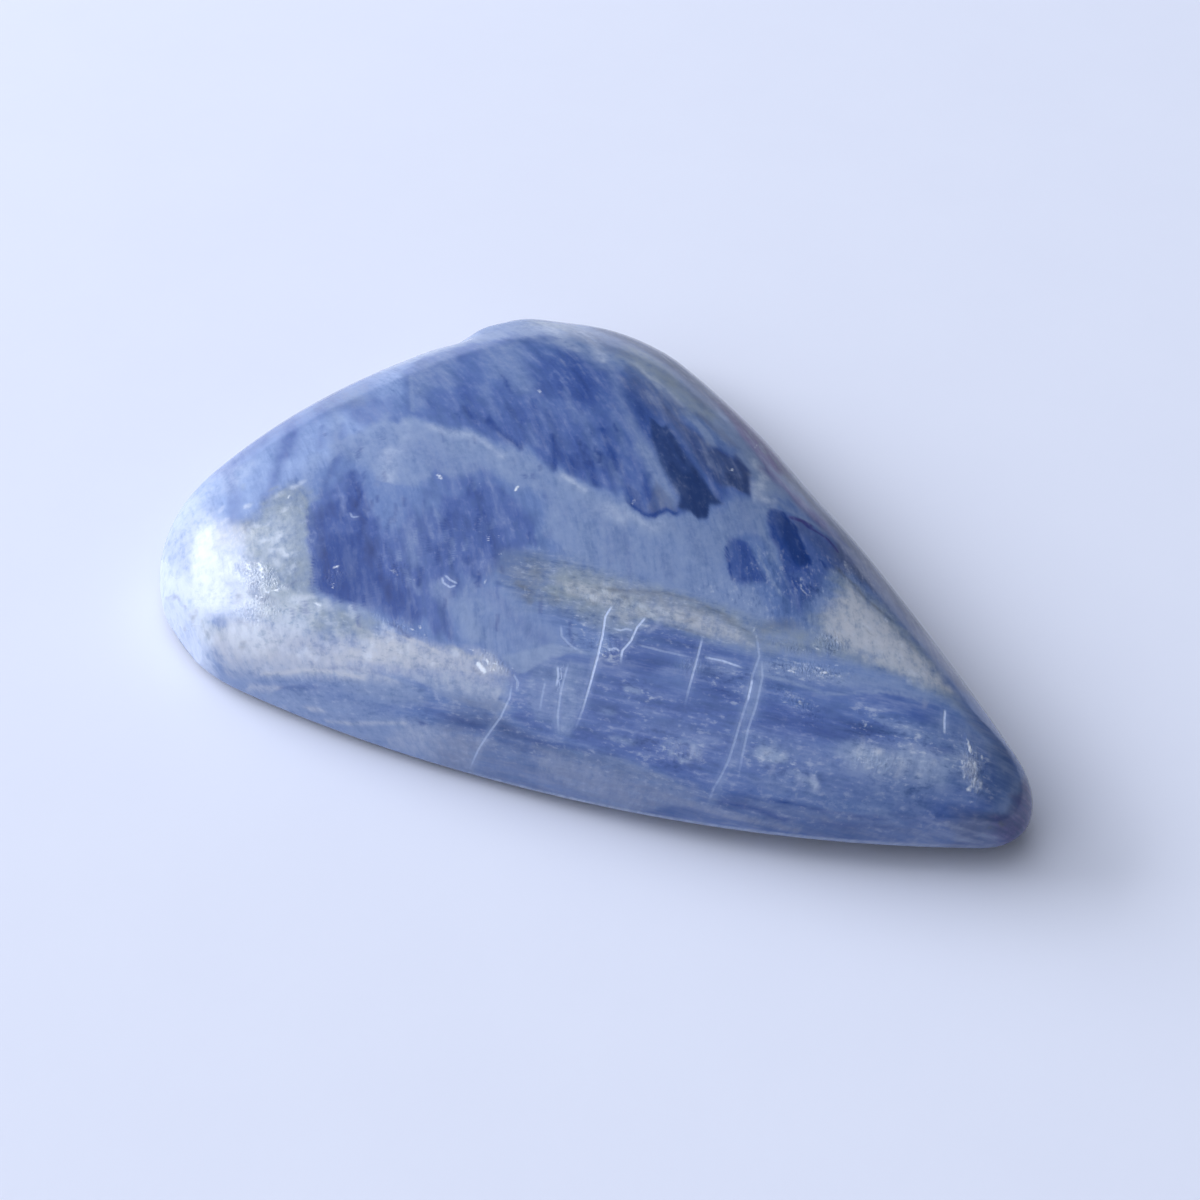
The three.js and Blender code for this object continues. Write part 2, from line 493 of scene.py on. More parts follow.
streaks("ink", LONG, [
    ([(-8.2, 7.8), (-6.4, 6), (-5.4, 4.6)], 0.9, 1.2, 0.4),
    ([(-8.6, 5.4), (-7.2, 3.8)], 0.5, 0.8, 0.3),
    ([(-3.6, 6), (-2.2, 4.6), (-1.2, 3.4)], 0.8, 0.8, 0.4),
    ([(-7.6, 3.4), (-6.2, 1.6), (-5.2, 0.4)], 0.22, 0.4, 0.42),
    ([(-6.6, 3), (-5.2, 1.4), (-3.9, -0.4)], 0.3, 0.5, 0.4),
    ([(-3.4, 2.6), (-2.2, 1.2), (-1.2, 0)], 0.3, 0.4, 0.7),
    ([(-2.2, 1.5), (-1.4, 0.6)], 0.35, 0.5, 0.4),
    ([(-5.3, 1.2), (-4.6, 0.2), (-4, -0.8)], 0.3, 0.3, 0.8),
    ([(-3.9, 0.2), (-3.1, -0.9)], 0.5, 0.4, 0.7),
    ([(-2.9, 0.4), (-2, -0.9)], 0.26, 0.3, 0.8),
    ([(-8.6, 1), (-7.4, 0.3), (-6, -0.35)], 0.28, 0.3, 0.85),
    ([(-10.2, 1.5), (-9, 0.6)], 0.24, 0.4, 0.6),
    ([(-10.8, 2.4), (-9.4, 0.9)], 0.22, 0.4, 0.35),
    ([(-12.4, 1.8), (-11.6, 0.8)], 0.2, 0.4, 0.3),
    ([(-0.2, 0.2), (0.5, -0.5)], 0.35, 0.4, 0.5),
    ([(-0.2, -0.6), (0.4, -1.5)], 0.6, 0.4, 0.7),
    ([(0.4, -1.7), (1.4, -1.4), (2.2, -1.1)], 0.28, 0.25, 0.85),
    ([(1.4, 4.6), (2.4, 4.6), (3.4, 4.1)], 0.5, 0.5, 0.4),
    ([(0.2, 4.6), (1.4, 3.4), (2.2, 2.6)], 0.3, 0.5, 0.35),
    ([(1.8, 2.9), (2.8, 2), (3.2, 1.4)], 0.35, 0.5, 0.4),
])
patches("slate", LONG, [
    ([(-2.4, 6.6), (-0.6, 5.4), (0.6, 5), (1.3, 4.6), (2.5, 4.8), (3.6, 4.2), (4.1, 2.6), (3, 2),
      (1.8, 2.4), (0.2, 3.8), (-1.4, 5.2)], 0.4, 0.6),
    ([(0.6, 0.2), (1.6, -0.2), (2.2, -1), (1.2, -1.5), (0.6, -1)], 0.4, 0.5),
    ([(-4.8, 7.8), (-3, 7.4), (-0.8, 6.2), (-1.2, 5.2), (-3.2, 5.6), (-4.6, 6.8)], 0.7, 0.4),
])
streaks("milk", LONG, [
    ([(-5.6, 7.6), (-3.7, 5.1), (-1.8, 3), (0, 1.2)], 0.45, 0.7, 0.36),
    ([(-1.2, 2.4), (0.4, 0.9), (1.6, -0.3)], 0.8, 0.7, 0.5),
    ([(0.6, 0.4), (1.7, -0.8)], 0.7, 0.5, 0.45),
    ([(-1, 6.4), (0.2, 5.8), (1.2, 4.7)], 0.5, 0.25, 0.75),
    ([(-14.7, 3.8), (-13.3, 1.8), (-12.1, 0.1)], 0.16, 0.3, 0.6),
    ([(-11.6, 8), (-9.8, 5.6), (-8.4, 4.2)], 1, 1.2, 0.5),
    ([(-12.8, 7.8), (-11.4, 6.2), (-10.2, 4.6)], 0.7, 1, 0.4),
    ([(-14.4, 6.6), (-13, 4.4), (-12, 3.2)], 0.8, 1, 0.35),
    ([(-13.2, 2.2), (-12.2, 0.8)], 0.5, 0.8, 0.4),
    ([(-7, 3.4), (-5.6, 1.8), (-4.6, 0.6)], 0.5, 0.7, 0.22),
    ([(-2.8, 4.2), (-1.2, 2.6), (0.4, 1.2)], 0.5, 0.6, 0.2),
    ([(-6.4, 4.6), (-5, 2.8)], 0.25, 0.5, 0.3),
    ([(-4.8, 3.2), (-3.4, 1.6), (-2.4, 0.4)], 0.3, 0.5, 0.32),
    ([(-6.6, 1.4), (-5.6, 0.2)], 0.25, 0.5, 0.3),
    ([(-3.8, 4.2), (-1.8, 1.8)], 0.2, 0.4, 0.3),
    ([(-0.6, 4.1), (0.8, 2.8), (1.9, 1.9)], 0.08, 0.2, 0.3),
    ([(-10.4, 3.6), (-8.6, 1.6)], 0.3, 0.6, 0.28),
    ([(-1.7, 0.4), (-0.6, -0.8)], 0.35, 0.5, 0.4),
])
BEYOND_CAP = [(2, 5.3), (3, 4.5), (3.6, 4.1), (3.95, 3.2), (4.3, 2.3), (5.2, 2.6), (5.2, 5.2), (3.4, 6.6)]
for name in ("deep", "slate", "ink", "navy"):
    lift(name, 0.8 * patch(STILL, BEYOND_CAP, 0.3))
streaks("milk", STILL, [
    ([(-13.4, 9.4), (-10.8, 9.4), (-8.4, 9.2)], 0.9, 1.2, 0.4),
    ([(-2.6, 8.2), (-0.4, 7.3), (1, 6.2)], 0.6, 0.8, 0.4),
    ([(3, 5.8), (4.3, 4.4), (4.7, 3)], 0.9, 0.6, 0.6),
    ([(-14.6, 5.2), (-13.8, 3.6), (-13.2, 2.8)], 1, 1.2, 0.5),
    ([(-9.4, 9.4), (-8, 9), (-6.2, 8)], 0.9, 1, 0.45),
    ([(-2.4, 8), (0, 7.3), (1.4, 6.2)], 1.2, 1, 0.5),
    ([(2.7, 5), (3.4, 4.6), (3.8, 4)], 0.7, 0.5, 0.6),
    ([(-7.6, 9), (-5.8, 8.2)], 0.8, 1, 0.4),
    ([(-16.8, 1.6), (-15.6, 0.6)], 0.9, 1, 0.5),
])
streaks("pearl", STILL, [
    ([(3.3, 5.2), (4.2, 4.4), (4.5, 3.4)], 0.4, 0.6, 0.35),
])
print("bundle laid")

# %% [markdown]
# ## The pale far rim
# Towards the far edge the blades thin out and go lilac and grey, and one corner is stained violet.
# The last millimetre before the edge is painted darker, a painted shade where the flank turns
# away, and it is dull.

# %% Lilac streaks, grey rim, the violet stain and a painted-shade edge
patches("milk", LONG, [
    ([(-17, 5), (-14.6, 7.6), (-12.4, 9.4), (-8.6, 9.8), (-5.2, 8.4), (-2, 7.4), (0.6, 6.2), (3.2, 5),
      (4.4, 3), (8, 3.6), (12, 2.6), (12, 16), (-12, 19), (-22, 8)], 0.9, 0.66),
])
patches("pearl", STILL, [
    ([(-12.6, 10.6), (-10.5, 10.4), (-7.8, 10.6), (-8.6, 12.4), (-12, 12.6)], 1.4, 0.2),
    ([(-18.4, 3.6), (-16.6, 5), (-14.6, 8), (-15.6, 11), (-20, 8)], 1.4, 0.36),
    # painted highlight: pale haze where the window's reflection spreads up the blunt end
    ([(-20.4, -5.2), (-17.8, -5), (-17.4, -7.4), (-20.4, -8)], 1, 0.18),
])
patches("slate", STILL, [
    ([(-10, 11.8), (-7, 11.6), (-5.4, 10), (-7, 9.6), (-9.6, 10.4)], 1.2, 0.34),
    ([(-19, 2.4), (-16.4, 3), (-15.6, 0.4), (-18, -0.6)], 1.2, 0.2),
    ([(-9.4, 12.5), (-5.4, 11.2), (-2.5, 9.9), (-0.4, 8.7), (1.6, 7.4), (3.8, 6.3), (6, 5.1), (8, 3.7),
      (10, 2.3), (12, 0.9), (14, -0.4), (17, -2.6), (24, 0), (12, 14), (-8, 18)], 0.7, 0.8),
])
streaks("pearl", LONG, [
    ([(-11.6, 11.6), (-9.6, 9.8), (-8.4, 8.8)], 0.4, 0.8, 0.25),
    ([(-9.4, 11.4), (-7.4, 9.6), (-6.6, 8.6)], 0.5, 0.7, 0.34),
    ([(-5.2, 9.2), (-3.4, 8), (-1.4, 6.8)], 0.25, 0.5, 0.3),
])
patches("khaki", LONG, [
    ([(-6.8, 11.6), (-4.6, 11), (-2.2, 9), (-3.2, 7.8), (-6, 9.2)], 1, 0.5),
    ([(-3.4, 9.2), (-0.6, 8.4), (0.4, 7.2), (-0.8, 6.6), (-2.8, 7.6)], 0.9, 0.45),
    ([(-13, 12.6), (-10, 12.4), (-9.6, 11.2), (-12, 11.2)], 0.8, 0.4),
])
streaks("slate", LONG, [
    ([(-5.4, 12.2), (-3, 10.6), (-1.6, 9.2), (-0.6, 8.4)], 0.9, 1, 0.55),
    ([(-5, 8.4), (-3.4, 7.4), (-1.4, 6.5)], 0.5, 0.7, 0.45),
    ([(-0.6, 6.9), (0.8, 6.3), (2, 5.6)], 0.35, 0.5, 0.5),
    ([(0.2, 9.2), (2.2, 7.8), (4, 6.6)], 1.2, 1, 0.55),
    ([(4.2, 5.8), (7, 4.8), (9, 4)], 1, 1, 0.5),
    ([(6.4, 4.4), (7.6, 3.8), (8.8, 3)], 0.9, 0.8, 0.5),
])
streaks("violet", LONG, [
    ([(0, 9.9), (2, 8.2), (3.8, 6.9)], 1.8, 0.9, 0.95),
    ([(1.8, 7.6), (3, 6.6), (4, 5.8)], 0.9, 0.6, 0.6),
    ([(4.2, 5), (6, 4.2), (7.6, 3.4)], 0.7, 0.8, 0.6),
])
SHADED_FAR_EDGE = [(-9.2, 13.4), (-5.2, 12.1), (-2.2, 10.8), (-0.2, 9.5), (1.8, 8.2), (3.8, 7), (5.8, 5.8),
            (7.8, 4.4), (9.8, 3.2), (11.8, 1.8), (13.8, 0.4)]
# painted shade: a dark line along the far edge, where the flank turns away
streaks("moss", STILL, [(SHADED_FAR_EDGE, 0.8, 0.9, 0.45)])
streaks("ink", STILL, [(SHADED_FAR_EDGE, 0.5, 0.6, 0.22)])
streaks("dull", SKIN, [(SHADED_FAR_EDGE, 1.8, 1.6, 0.9)])
print("far rim laid")

# %% [markdown]
# ## The light left end
# Under the bundle's broken left end the stone clears to a light sky blue, streaked along the grain.

# %% Sky blue and its streaks
patches("sky", LONG, [
    ([(-16, 6.6), (-14.9, 3.8), (-13.4, 0.8), (-12.9, -1.2), (-13.8, -3), (-14.4, -5.6), (-15.2, -7.6),
      (-16, -9.6), (-24, -10), (-24, 2), (-18, 2)], 1.4, 0.58),
    # partly painted highlight: lighter sky blue where the window's reflection spreads
    ([(-21, -3), (-17.6, -4.6), (-16.4, -8), (-22, -9)], 1.2, 0.5),
])
streaks("deep", LONG, [
    ([(-18.8, -1), (-17.6, -2.4), (-16.4, -4.6)], 0.9, 0.9, 0.55),
    ([(-17.4, -2.6), (-16.7, -3.8)], 0.4, 0.5, 0.35),
    ([(-15.8, 0.4), (-14.8, -0.6), (-13.6, -1.2)], 0.7, 0.6, 0.5),
    ([(-16.4, -4.8), (-15.6, -6.6), (-15.2, -8)], 0.45, 0.6, 0.5),
    ([(-16, -2), (-15.2, -3.4)], 0.2, 0.4, 0.45),
    ([(-15, -1.8), (-13.9, -3.4), (-13.2, -5)], 0.3, 0.5, 0.4),
    ([(-20, -5.4), (-18.4, -6.4), (-17, -7.8), (-16.2, -9.2)], 0.4, 0.8, 0.45),
    ([(-18.2, -6.8), (-17, -8.2)], 0.2, 0.4, 0.3),
    ([(-17.6, 3.6), (-15.8, 1.8), (-14.6, 0.6)], 0.7, 1.1, 0.22),
    ([(-19.6, 3), (-18.4, 1.4), (-17, -0.4)], 1.6, 2, 0.5),
    ([(-21, 1.6), (-20, 0), (-19.2, -2), (-19.6, -5)], 1.8, 1.8, 0.55),
    ([(-15.4, 5.8), (-14, 4.4), (-12.8, 3.4)], 0.5, 0.8, 0.35),
    ([(-16.6, 5.6), (-15.2, 5)], 0.4, 0.7, 0.25),
])
streaks("milk", LONG, [
    ([(-17.4, 0.6), (-15.4, -1.6), (-13.9, -4)], 0.5, 0.7, 0.45),
    ([(-13.4, -0.2), (-12.9, -1.2)], 0.25, 0.4, 0.45),
    ([(-14.8, -4.2), (-14, -6.4)], 0.6, 0.7, 0.4),
])
print("left end laid")

# %% [markdown]
# ## The milky middle
# A cloudy band runs the whole length of the stone beneath the bundle. It is brightest right under
# the broken ends, where it shows as a pale outline.

# %% The cloudy band
patches("milk", LONG, [
    ([(-13.6, -1.2), (-12, -0.5), (-9, -0.2), (-6, -0.5), (-3.8, -1.1), (-1, -1.2), (0.6, -1.9),
      (2.4, -1.2), (3.4, -0.4), (3.8, 1), (4.3, 2.4), (5, 3.6), (5.6, 2.2), (5.9, 0), (4.9, -1), (5.4, -3),
      (8, -4.4), (9.4, -5.4), (5, -5.6), (0, -5.9), (-2.2, -5.2), (-3, -3.2), (-5.6, -2.4), (-8.4, -3.6),
      (-10, -5.8), (-11.4, -4.6), (-13, -4.2), (-14.4, -3.4)], 0.7, 0.55),
    ([(-12.8, -0.8), (-9.6, -0.3), (-6.4, -0.8), (-4.2, -1.4), (-5.4, -2.2), (-8.8, -1.8), (-11.6, -2.2)],
      0.7, 0.26),
    ([(-3.6, -1.2), (-1, -1.4), (0.6, -2.1), (2.4, -1.5), (3.2, -2.4), (0.4, -3.2), (-3, -2.2)], 0.7, 0.35),
])
streaks("pearl", LONG, [
    ([(-12.2, -0.8), (-11.4, -1.6), (-10.9, -3)], 0.45, 0.8, 0.1),
    ([(-10.8, -0.6), (-8.6, -0.6), (-6.8, -0.9)], 0.35, 0.6, 0.22),
    ([(-11.4, -3.2), (-10.4, -4.8)], 0.7, 0.9, 0.2),
    ([(-3.2, -1.4), (-2.2, -1.6)], 0.3, 0.5, 0.35),
    ([(-0.8, -2), (0.4, -2.5), (1.8, -2)], 0.5, 0.8, 0.22),
    ([(4.2, 3.2), (4.6, 2.4), (5.4, 2.6)], 0.5, 0.6, 0.3),
])
streaks("deep", LONG, [
    ([(0.4, -2.9), (1.2, -3.9), (2.2, -5.4)], 0.45, 0.6, 0.45),
    ([(0.9, -3.4), (1.5, -4.2)], 0.3, 0.4, 0.4),
    ([(-1.2, -2.4), (0.2, -3.4), (0.8, -4.6)], 0.9, 1, 0.36),
    ([(-14.8, -2.6), (-13.4, -3.6)], 0.8, 1, 0.3),
    ([(2.6, -3.4), (3.8, -4.6)], 0.35, 0.6, 0.42),
    ([(3.2, -1.8), (4.6, -3.2)], 0.3, 0.6, 0.32),
    ([(1.4, -4.3), (2.4, -5.7)], 0.1, 0.2, 0.5),
    ([(2.9, -3.9), (3.9, -5.2)], 0.08, 0.2, 0.5),
    ([(-7.4, -2.4), (-5.6, -3.2)], 0.2, 0.4, 0.35),
    ([(-6.2, -1.2), (-5.8, -1.6)], 0.16, 0.3, 0.4),
    ([(-11.2, -3.4), (-10.4, -4.8)], 0.2, 0.4, 0.3),
    ([(3.8, 0.2), (4.6, -0.3), (5.4, -1.3)], 0.4, 0.7, 0.3),
    ([(4.2, 1.6), (5, 0.4), (5.8, -0.4)], 0.4, 0.7, 0.3),
    ([(-13.8, -2), (-12.8, -3.6)], 0.25, 0.5, 0.4),
    ([(-10.4, -2), (-8, -3), (-6, -3.6)], 1.6, 1.4, 0.36),
    ([(-12.6, -1.8), (-11.4, -3.6)], 0.3, 0.6, 0.25),
    ([(-4.4, -1.9), (-2.6, -3.4)], 0.25, 0.6, 0.25),
])
streaks("milk", LONG, [
    ([(4, -2.2), (4.05, -4.8)], 0.08, 0.2, 0.5),
    ([(-1, -3.8), (-0.6, -4.9)], 0.1, 0.25, 0.35),
])
print("middle laid")

# %% [markdown]
# ## The blue heart
# Left of the middle lies a second blue bundle. Its left and lower edges are cleaved clean, and
# the lower corner is nearly ink. Upwards it frays into the milky band, streak by streak.

# %% The heart and its darkest corner
patches("deep", LONG, [
    ([(-12.8, -5), (-11.6, -5), (-10.2, -7), (-8.6, -8), (-7.6, -6), (-6.8, -4), (-4.8, -3.2), (-2.9, -4.6),
      (-2.7, -6.2), (-3.1, -8.2), (-4.4, -8.8), (-4, -10.4), (-3.2, -11.5), (-6, -12), (-7.6, -11.6),
      (-10.1, -11.6), (-10.7, -10.7), (-11.6, -9.7), (-12.4, -8.4), (-13, -7.6)], 0.6, 0.68),
    ([(-12, -6), (-10.8, -6.2), (-9.2, -7.6), (-7.6, -9), (-5.4, -9.8), (-4.6, -11.9), (-10, -11.5),
      (-12, -8.8)], 0.8, 0.66),
    ([(-6.6, -5), (-4.6, -4.8), (-3.4, -6.6), (-3.4, -8.2), (-5.6, -8.4), (-7, -7.2)], 0.8, 0.4),
    ([(-9.4, -2.6), (-6.8, -2.6), (-5.6, -3.6), (-6.8, -5.4), (-8.4, -5.2)], 0.9, 0.36),
    ([(-9, -5.8), (-7.6, -6), (-6.2, -7.8), (-7.4, -8.8)], 0.9, 0.42),
    ([(-4.8, -8.4), (-3, -8.4), (-3, -10), (-4.6, -10.2)], 0.8, 0.36),
])
patches("ink", STILL, [
    ([(-10.9, -8.8), (-9.9, -8.4), (-8.8, -9.6), (-8, -11), (-8, -11.65), (-9.9, -11.6), (-10.7, -10.2)],
      0.6, 0.86),
    ([(-12.2, -7), (-10.6, -7.4), (-9, -9.4), (-6, -10.4), (-5, -11.8), (-10.1, -11.6), (-12.2, -8.6)],
      0.7, 0.42),
])
streaks("ink", STILL, [
    ([(-13, -7.7), (-12.3, -8.7), (-11.6, -9.7)], 0.1, 0.14, 0.55),
    ([(-11, -10.3), (-10.6, -10.85), (-10.15, -11.5)], 0.12, 0.14, 0.85),
    ([(-9.9, -11.6), (-9, -11.62), (-8.1, -11.66)], 0.12, 0.14, 0.8),
    ([(-6, -12), (-5.5, -12.2), (-4.9, -12.25)], 0.1, 0.14, 0.6),
])
streaks("ink", LONG, [
    ([(-9.6, -10), (-9.2, -11), (-9, -11.6)], 0.5, 0.5, 0.6),
    ([(-12.1, -5.2), (-11.6, -6), (-10.8, -7.2)], 0.45, 0.4, 0.55),
    ([(-12, -6.6), (-11.2, -7.6)], 0.3, 0.4, 0.35),
    ([(-10.3, -6.8), (-9.9, -7.8), (-9.5, -8.6)], 0.25, 0.3, 0.45),
    ([(-8.8, -8.8), (-7.9, -10.4), (-7.4, -11.4)], 0.35, 0.6, 0.45),
    ([(-7.6, -10.6), (-6.2, -10.9), (-5, -11.6)], 0.6, 0.7, 0.42),
    ([(-6, -7.6), (-5.7, -8.4)], 0.3, 0.3, 0.5),
    ([(-6.4, -5.9), (-6.3, -6.6)], 0.3, 0.3, 0.45),
    ([(-5.4, -5.3), (-5.1, -6)], 0.12, 0.2, 0.65),
    ([(-4.5, -6.2), (-4.2, -7.4), (-4.4, -8)], 0.3, 0.4, 0.4),
    ([(-4.2, -10.6), (-3.4, -11.4)], 0.25, 0.35, 0.5),
    ([(-13.8, -4.3), (-13.3, -5.6), (-12.9, -6.8)], 0.28, 0.4, 0.45),
    ([(-8.2, -5.4), (-7.4, -6.8)], 0.2, 0.4, 0.35),
    ([(-6.8, -3.2), (-6.6, -4.4)], 0.15, 0.3, 0.35),
    ([(-5.9, -4), (-5.6, -5)], 0.15, 0.3, 0.35),
])
streaks("milk", LONG, [
    ([(-8, -7), (-7, -8.4), (-6.2, -9.2)], 0.35, 0.5, 0.4),
    ([(-9.2, -6.2), (-8.6, -7.2)], 0.5, 0.6, 0.28),
    ([(-5, -9.6), (-3.4, -10.4), (-2, -11.4)], 0.7, 0.6, 0.5),
    ([(-6.6, -9.6), (-5.2, -10.6)], 0.2, 0.3, 0.4),
    ([(-6.9, -3.1), (-6.4, -3.9)], 0.1, 0.2, 0.35),
    ([(-10.9, -8.8), (-10.2, -9.8)], 0.08, 0.2, 0.35),
    ([(-9.4, -9.4), (-8.8, -10.6)], 0.08, 0.2, 0.35),
])
patches("milk", LONG, [
    ([(-3.8, -8.8), (-2.2, -8.6), (-0.4, -8.8), (1, -9.6), (1.4, -10.2), (0.2, -11.6), (-2.6, -11.6),
      (-3.4, -10.4)], 0.7, 0.36),
])
streaks("deep", STILL, [
    ([(-2.6, -9.2), (-1, -9.8), (0.6, -10.2)], 0.5, 0.6, 0.45),
    ([(-1.6, -10.4), (-0.2, -10.8)], 0.3, 0.5, 0.35),
    ([(-3.6, -8.8), (-2, -9.2)], 0.2, 0.4, 0.35),
])
patches("milk", STILL, [
    ([(-9.4, -4.2), (-8, -4.4), (-6.8, -6.4), (-6.2, -8.8), (-7, -9.2), (-8.4, -7.4), (-9.6, -6)],
      1.2, 0.12),
    ([(-11.2, -4), (-9.8, -4.2), (-9, -6.2), (-10, -6.6), (-10.8, -5.4)], 1, 0.25),
])
print("heart laid")

# %% [markdown]
# ## Slivers
# Inside the bundles the blades have parted into hundreds of short dark and pale slivers. They are
# too many to place by hand and all alike, so each group is a scatter: a middle, a spread along
# and across a direction, and a count. The seed is fixed, so the slivers stay where they are.

# %% A scatter, and the slivers
def strewn(random, scatter, sway, lengths):
    """Short lines strewn round a middle. Each sways from the scatter's angle, or points anywhere."""
    middle, along, across, angle, count = scatter
    way, left = way_at(angle)
    for _ in range(count):
        spread = random.normal(0, (along, across))
        start = middle + way * spread[0] + left * spread[1]
        tilt = random.uniform(-180, 180) if sway is None else angle + random.normal(0, sway)
        yield [start, start + random.uniform(*lengths) * way_at(tilt)[0]]


SLIVERS = [
    # middle, spread along and across, angle, how many, pigment, strength
    ((-9.4, -8.6), 2, 1, -60, 46, "ink", 0.6),
    ((-5.2, -6.4), 1.8, 1.2, -62, 40, "ink", 0.5),
    ((-7.4, -10.4), 0.6, 1.8, -60, 26, "ink", 0.55),
    ((-11.4, -6), 1.4, 0.6, -62, 18, "ink", 0.5),
    ((-3.4, 0.8), 1.4, 1.6, -50, 36, "ink", 0.5),
    ((-9.6, 2), 1.6, 2, -50, 30, "ink", 0.35),
    ((-1, -3.4), 1.6, 2.4, -58, 24, "deep", 0.5),
    ((-9, -2.6), 1.2, 2, -58, 20, "deep", 0.4),
    ((-8.6, -7.4), 2, 1.6, -60, 30, "milk", 0.4),
    ((-4.4, -8), 1.6, 1.2, -60, 20, "milk", 0.4),
]
slivers = np.random.default_rng(41)
for *scatter, name, strength in SLIVERS:
    for line in strewn(slivers, scatter, 7, (0.15, 0.9)):
        show = strength * slivers.uniform(0.4, 1.3)
        lay(name, show * streak(STILL, line, slivers.uniform(0.06, 0.2), 0.15))
print("slivers:", sum(scatter[4] for scatter in SLIVERS))

# %% [markdown]
# ## The weathered corner and the cream seam
# Left of the heart the stone is green-grey and crumbly, and at the near left it turns white,
# partly its own pale colour and partly a painted highlight round the window's reflection and the
# chip's glare. From there a cream seam narrows to a point halfway along the near side.

# %% The grey-green corner, the white end with its painted highlight, and the seam
patches("khaki", LONG, [
    ([(-15.2, -7.4), (-14.6, -6.8), (-13.9, -6.6), (-12.6, -7.2), (-11.4, -8.6), (-10.4, -9.8),
      (-10, -10.8), (-9.6, -12.8), (-12, -13), (-14, -11.4), (-15.4, -9.6)], 1.3, 0.6),
])
patches("milk", LONG, [
    ([(-15, -7.6), (-13.2, -7.6), (-11, -9.6), (-9.8, -11.4), (-10.2, -12.4), (-13, -12), (-14.8, -10.4)],
      1.4, 0.5),
])
patches("pearl", STILL, [
    # partly painted highlight: pale haze round the window's reflection on the blunt end
    ([(-21.6, -7), (-19.4, -7.6), (-17.8, -8.9), (-16.4, -10), (-15, -11), (-13.4, -11.6), (-12.6, -12.8),
      (-13.2, -14), (-16, -14.2), (-19, -14.6), (-23, -12)], 1.6, 0.52),
    ([(-14.6, -8.4), (-13.4, -8.4), (-12.2, -10), (-12.6, -11.2), (-14.2, -10.6)], 1.2, 0.2),
    ([(-14.6, -11.2), (-13, -11.4), (-11.4, -12.2), (-10.6, -13.6), (-12.6, -14.4)], 1, 0.2),
    ([(-11, -12.2), (-9.8, -12.3), (-9.2, -13), (-9.8, -13.7), (-11, -13.4)], 0.8, 0.36),
])
HEART_EDGE = [(-13.1, -7.4), (-12.5, -8.4), (-11.8, -9.6), (-11.1, -10.3), (-10.6, -10.8), (-10.1, -11.6),
              (-7.6, -11.65), (-5.6, -12), (-3, -11.5), (-2, -8), (-4, -4), (-11, -5)]
heart_left = patch(SKIN, [(-14, -3), (-8, -3), (-8, -14), (-14, -14)], 1.5)
for name in ("khaki", "milk", "pearl"):
    lift(name, 0.85 * patch(STILL, HEART_EDGE, 0.16) * heart_left)
patches("deep", STILL, [
    ([(-13, -7.2), (-11.8, -7), (-9.4, -10.4), (-8, -11.6), (-10.1, -11.6), (-10.7, -10.8), (-11.7, -9.7),
      (-12.5, -8.5)], 0.2, 0.5),
])
patches("milk", EDGE, [
    ([(-12.8, -12), (-9.8, -11.8), (-7, -11.7), (-5.6, -12.4), (-6.8, -13.4), (-9.6, -13.9),
      (-12.6, -13.6)], 0.5, 0.6),
])
patches("khaki", EDGE, [
    ([(-12.4, -12.2), (-9.8, -12), (-7, -12), (-6.2, -12.8), (-9.6, -13.6), (-12.4, -13.6)], 0.7, 0.45),
])
patches("pearl", EDGE, [
    ([(-13.4, -12.6), (-11, -12.6), (-9.4, -13.2), (-10.4, -14.4), (-13.4, -14.6)], 0.9, 0.3),
])
# partly painted highlight: pale glare over the chip and round the window's reflection
patches("pearl", STILL, [
    ([(-21, -10.6), (-17.4, -12.4), (-15.2, -13.4), (-14.6, -14.6), (-15.4, -16.2), (-18, -17), (-23, -13)],
      1.2, 0.66),
])
patches("cream", EDGE, [
    ([(-15, -14.6), (-12, -14.6), (-9.4, -14.4), (-6, -13.8), (-5.2, -14.4), (-8.6, -15.2), (-12, -15.9),
      (-15, -16.3)], 0.7, 0.5),
    ([(-14.8, -14.6), (-13, -13.9), (-10.8, -13.6), (-8.6, -13.3), (-6.8, -12.9), (-5.6, -12.4),
      (-3.2, -12.2), (-1.2, -11.8), (0.5, -12.1), (-0.4, -12.6), (-3, -13.1), (-4.8, -13.8), (-8, -14.5),
      (-10.6, -15.1), (-14.2, -15.6)], 0.8, 0.6),
    ([(-8, -13.6), (-5.6, -12.7), (-3.6, -12.7), (-4.4, -13.3), (-7.4, -14.1)], 0.5, 0.5),
    ([(-13, -13.9), (-11, -13.7), (-9.4, -14), (-11.4, -14.8), (-13.4, -14.8)], 0.5, 0.35),
    ([(-2, -11.7), (-0.8, -11.5), (0.4, -12), (-0.8, -12.4)], 0.5, 0.3),
])
streaks("cream", EDGE, [
    ([(-5.6, -12.35), (-4.4, -12.35), (-3.2, -12.45)], 0.14, 0.2, 0.7),
    ([(-8.4, -13.4), (-7, -13.15), (-5.4, -12.9)], 0.25, 0.3, 0.4),
    ([(-3.4, -12.9), (-2, -12.75), (-0.6, -12.5)], 0.1, 0.2, 0.4),
])
patches("khaki", STILL, [
    ([(-16.6, -13.9), (-15.6, -13.9), (-14.4, -14.4), (-13.2, -14.3), (-13, -14.7), (-14.6, -15),
      (-15.8, -15)], 0.5, 0.6),
])
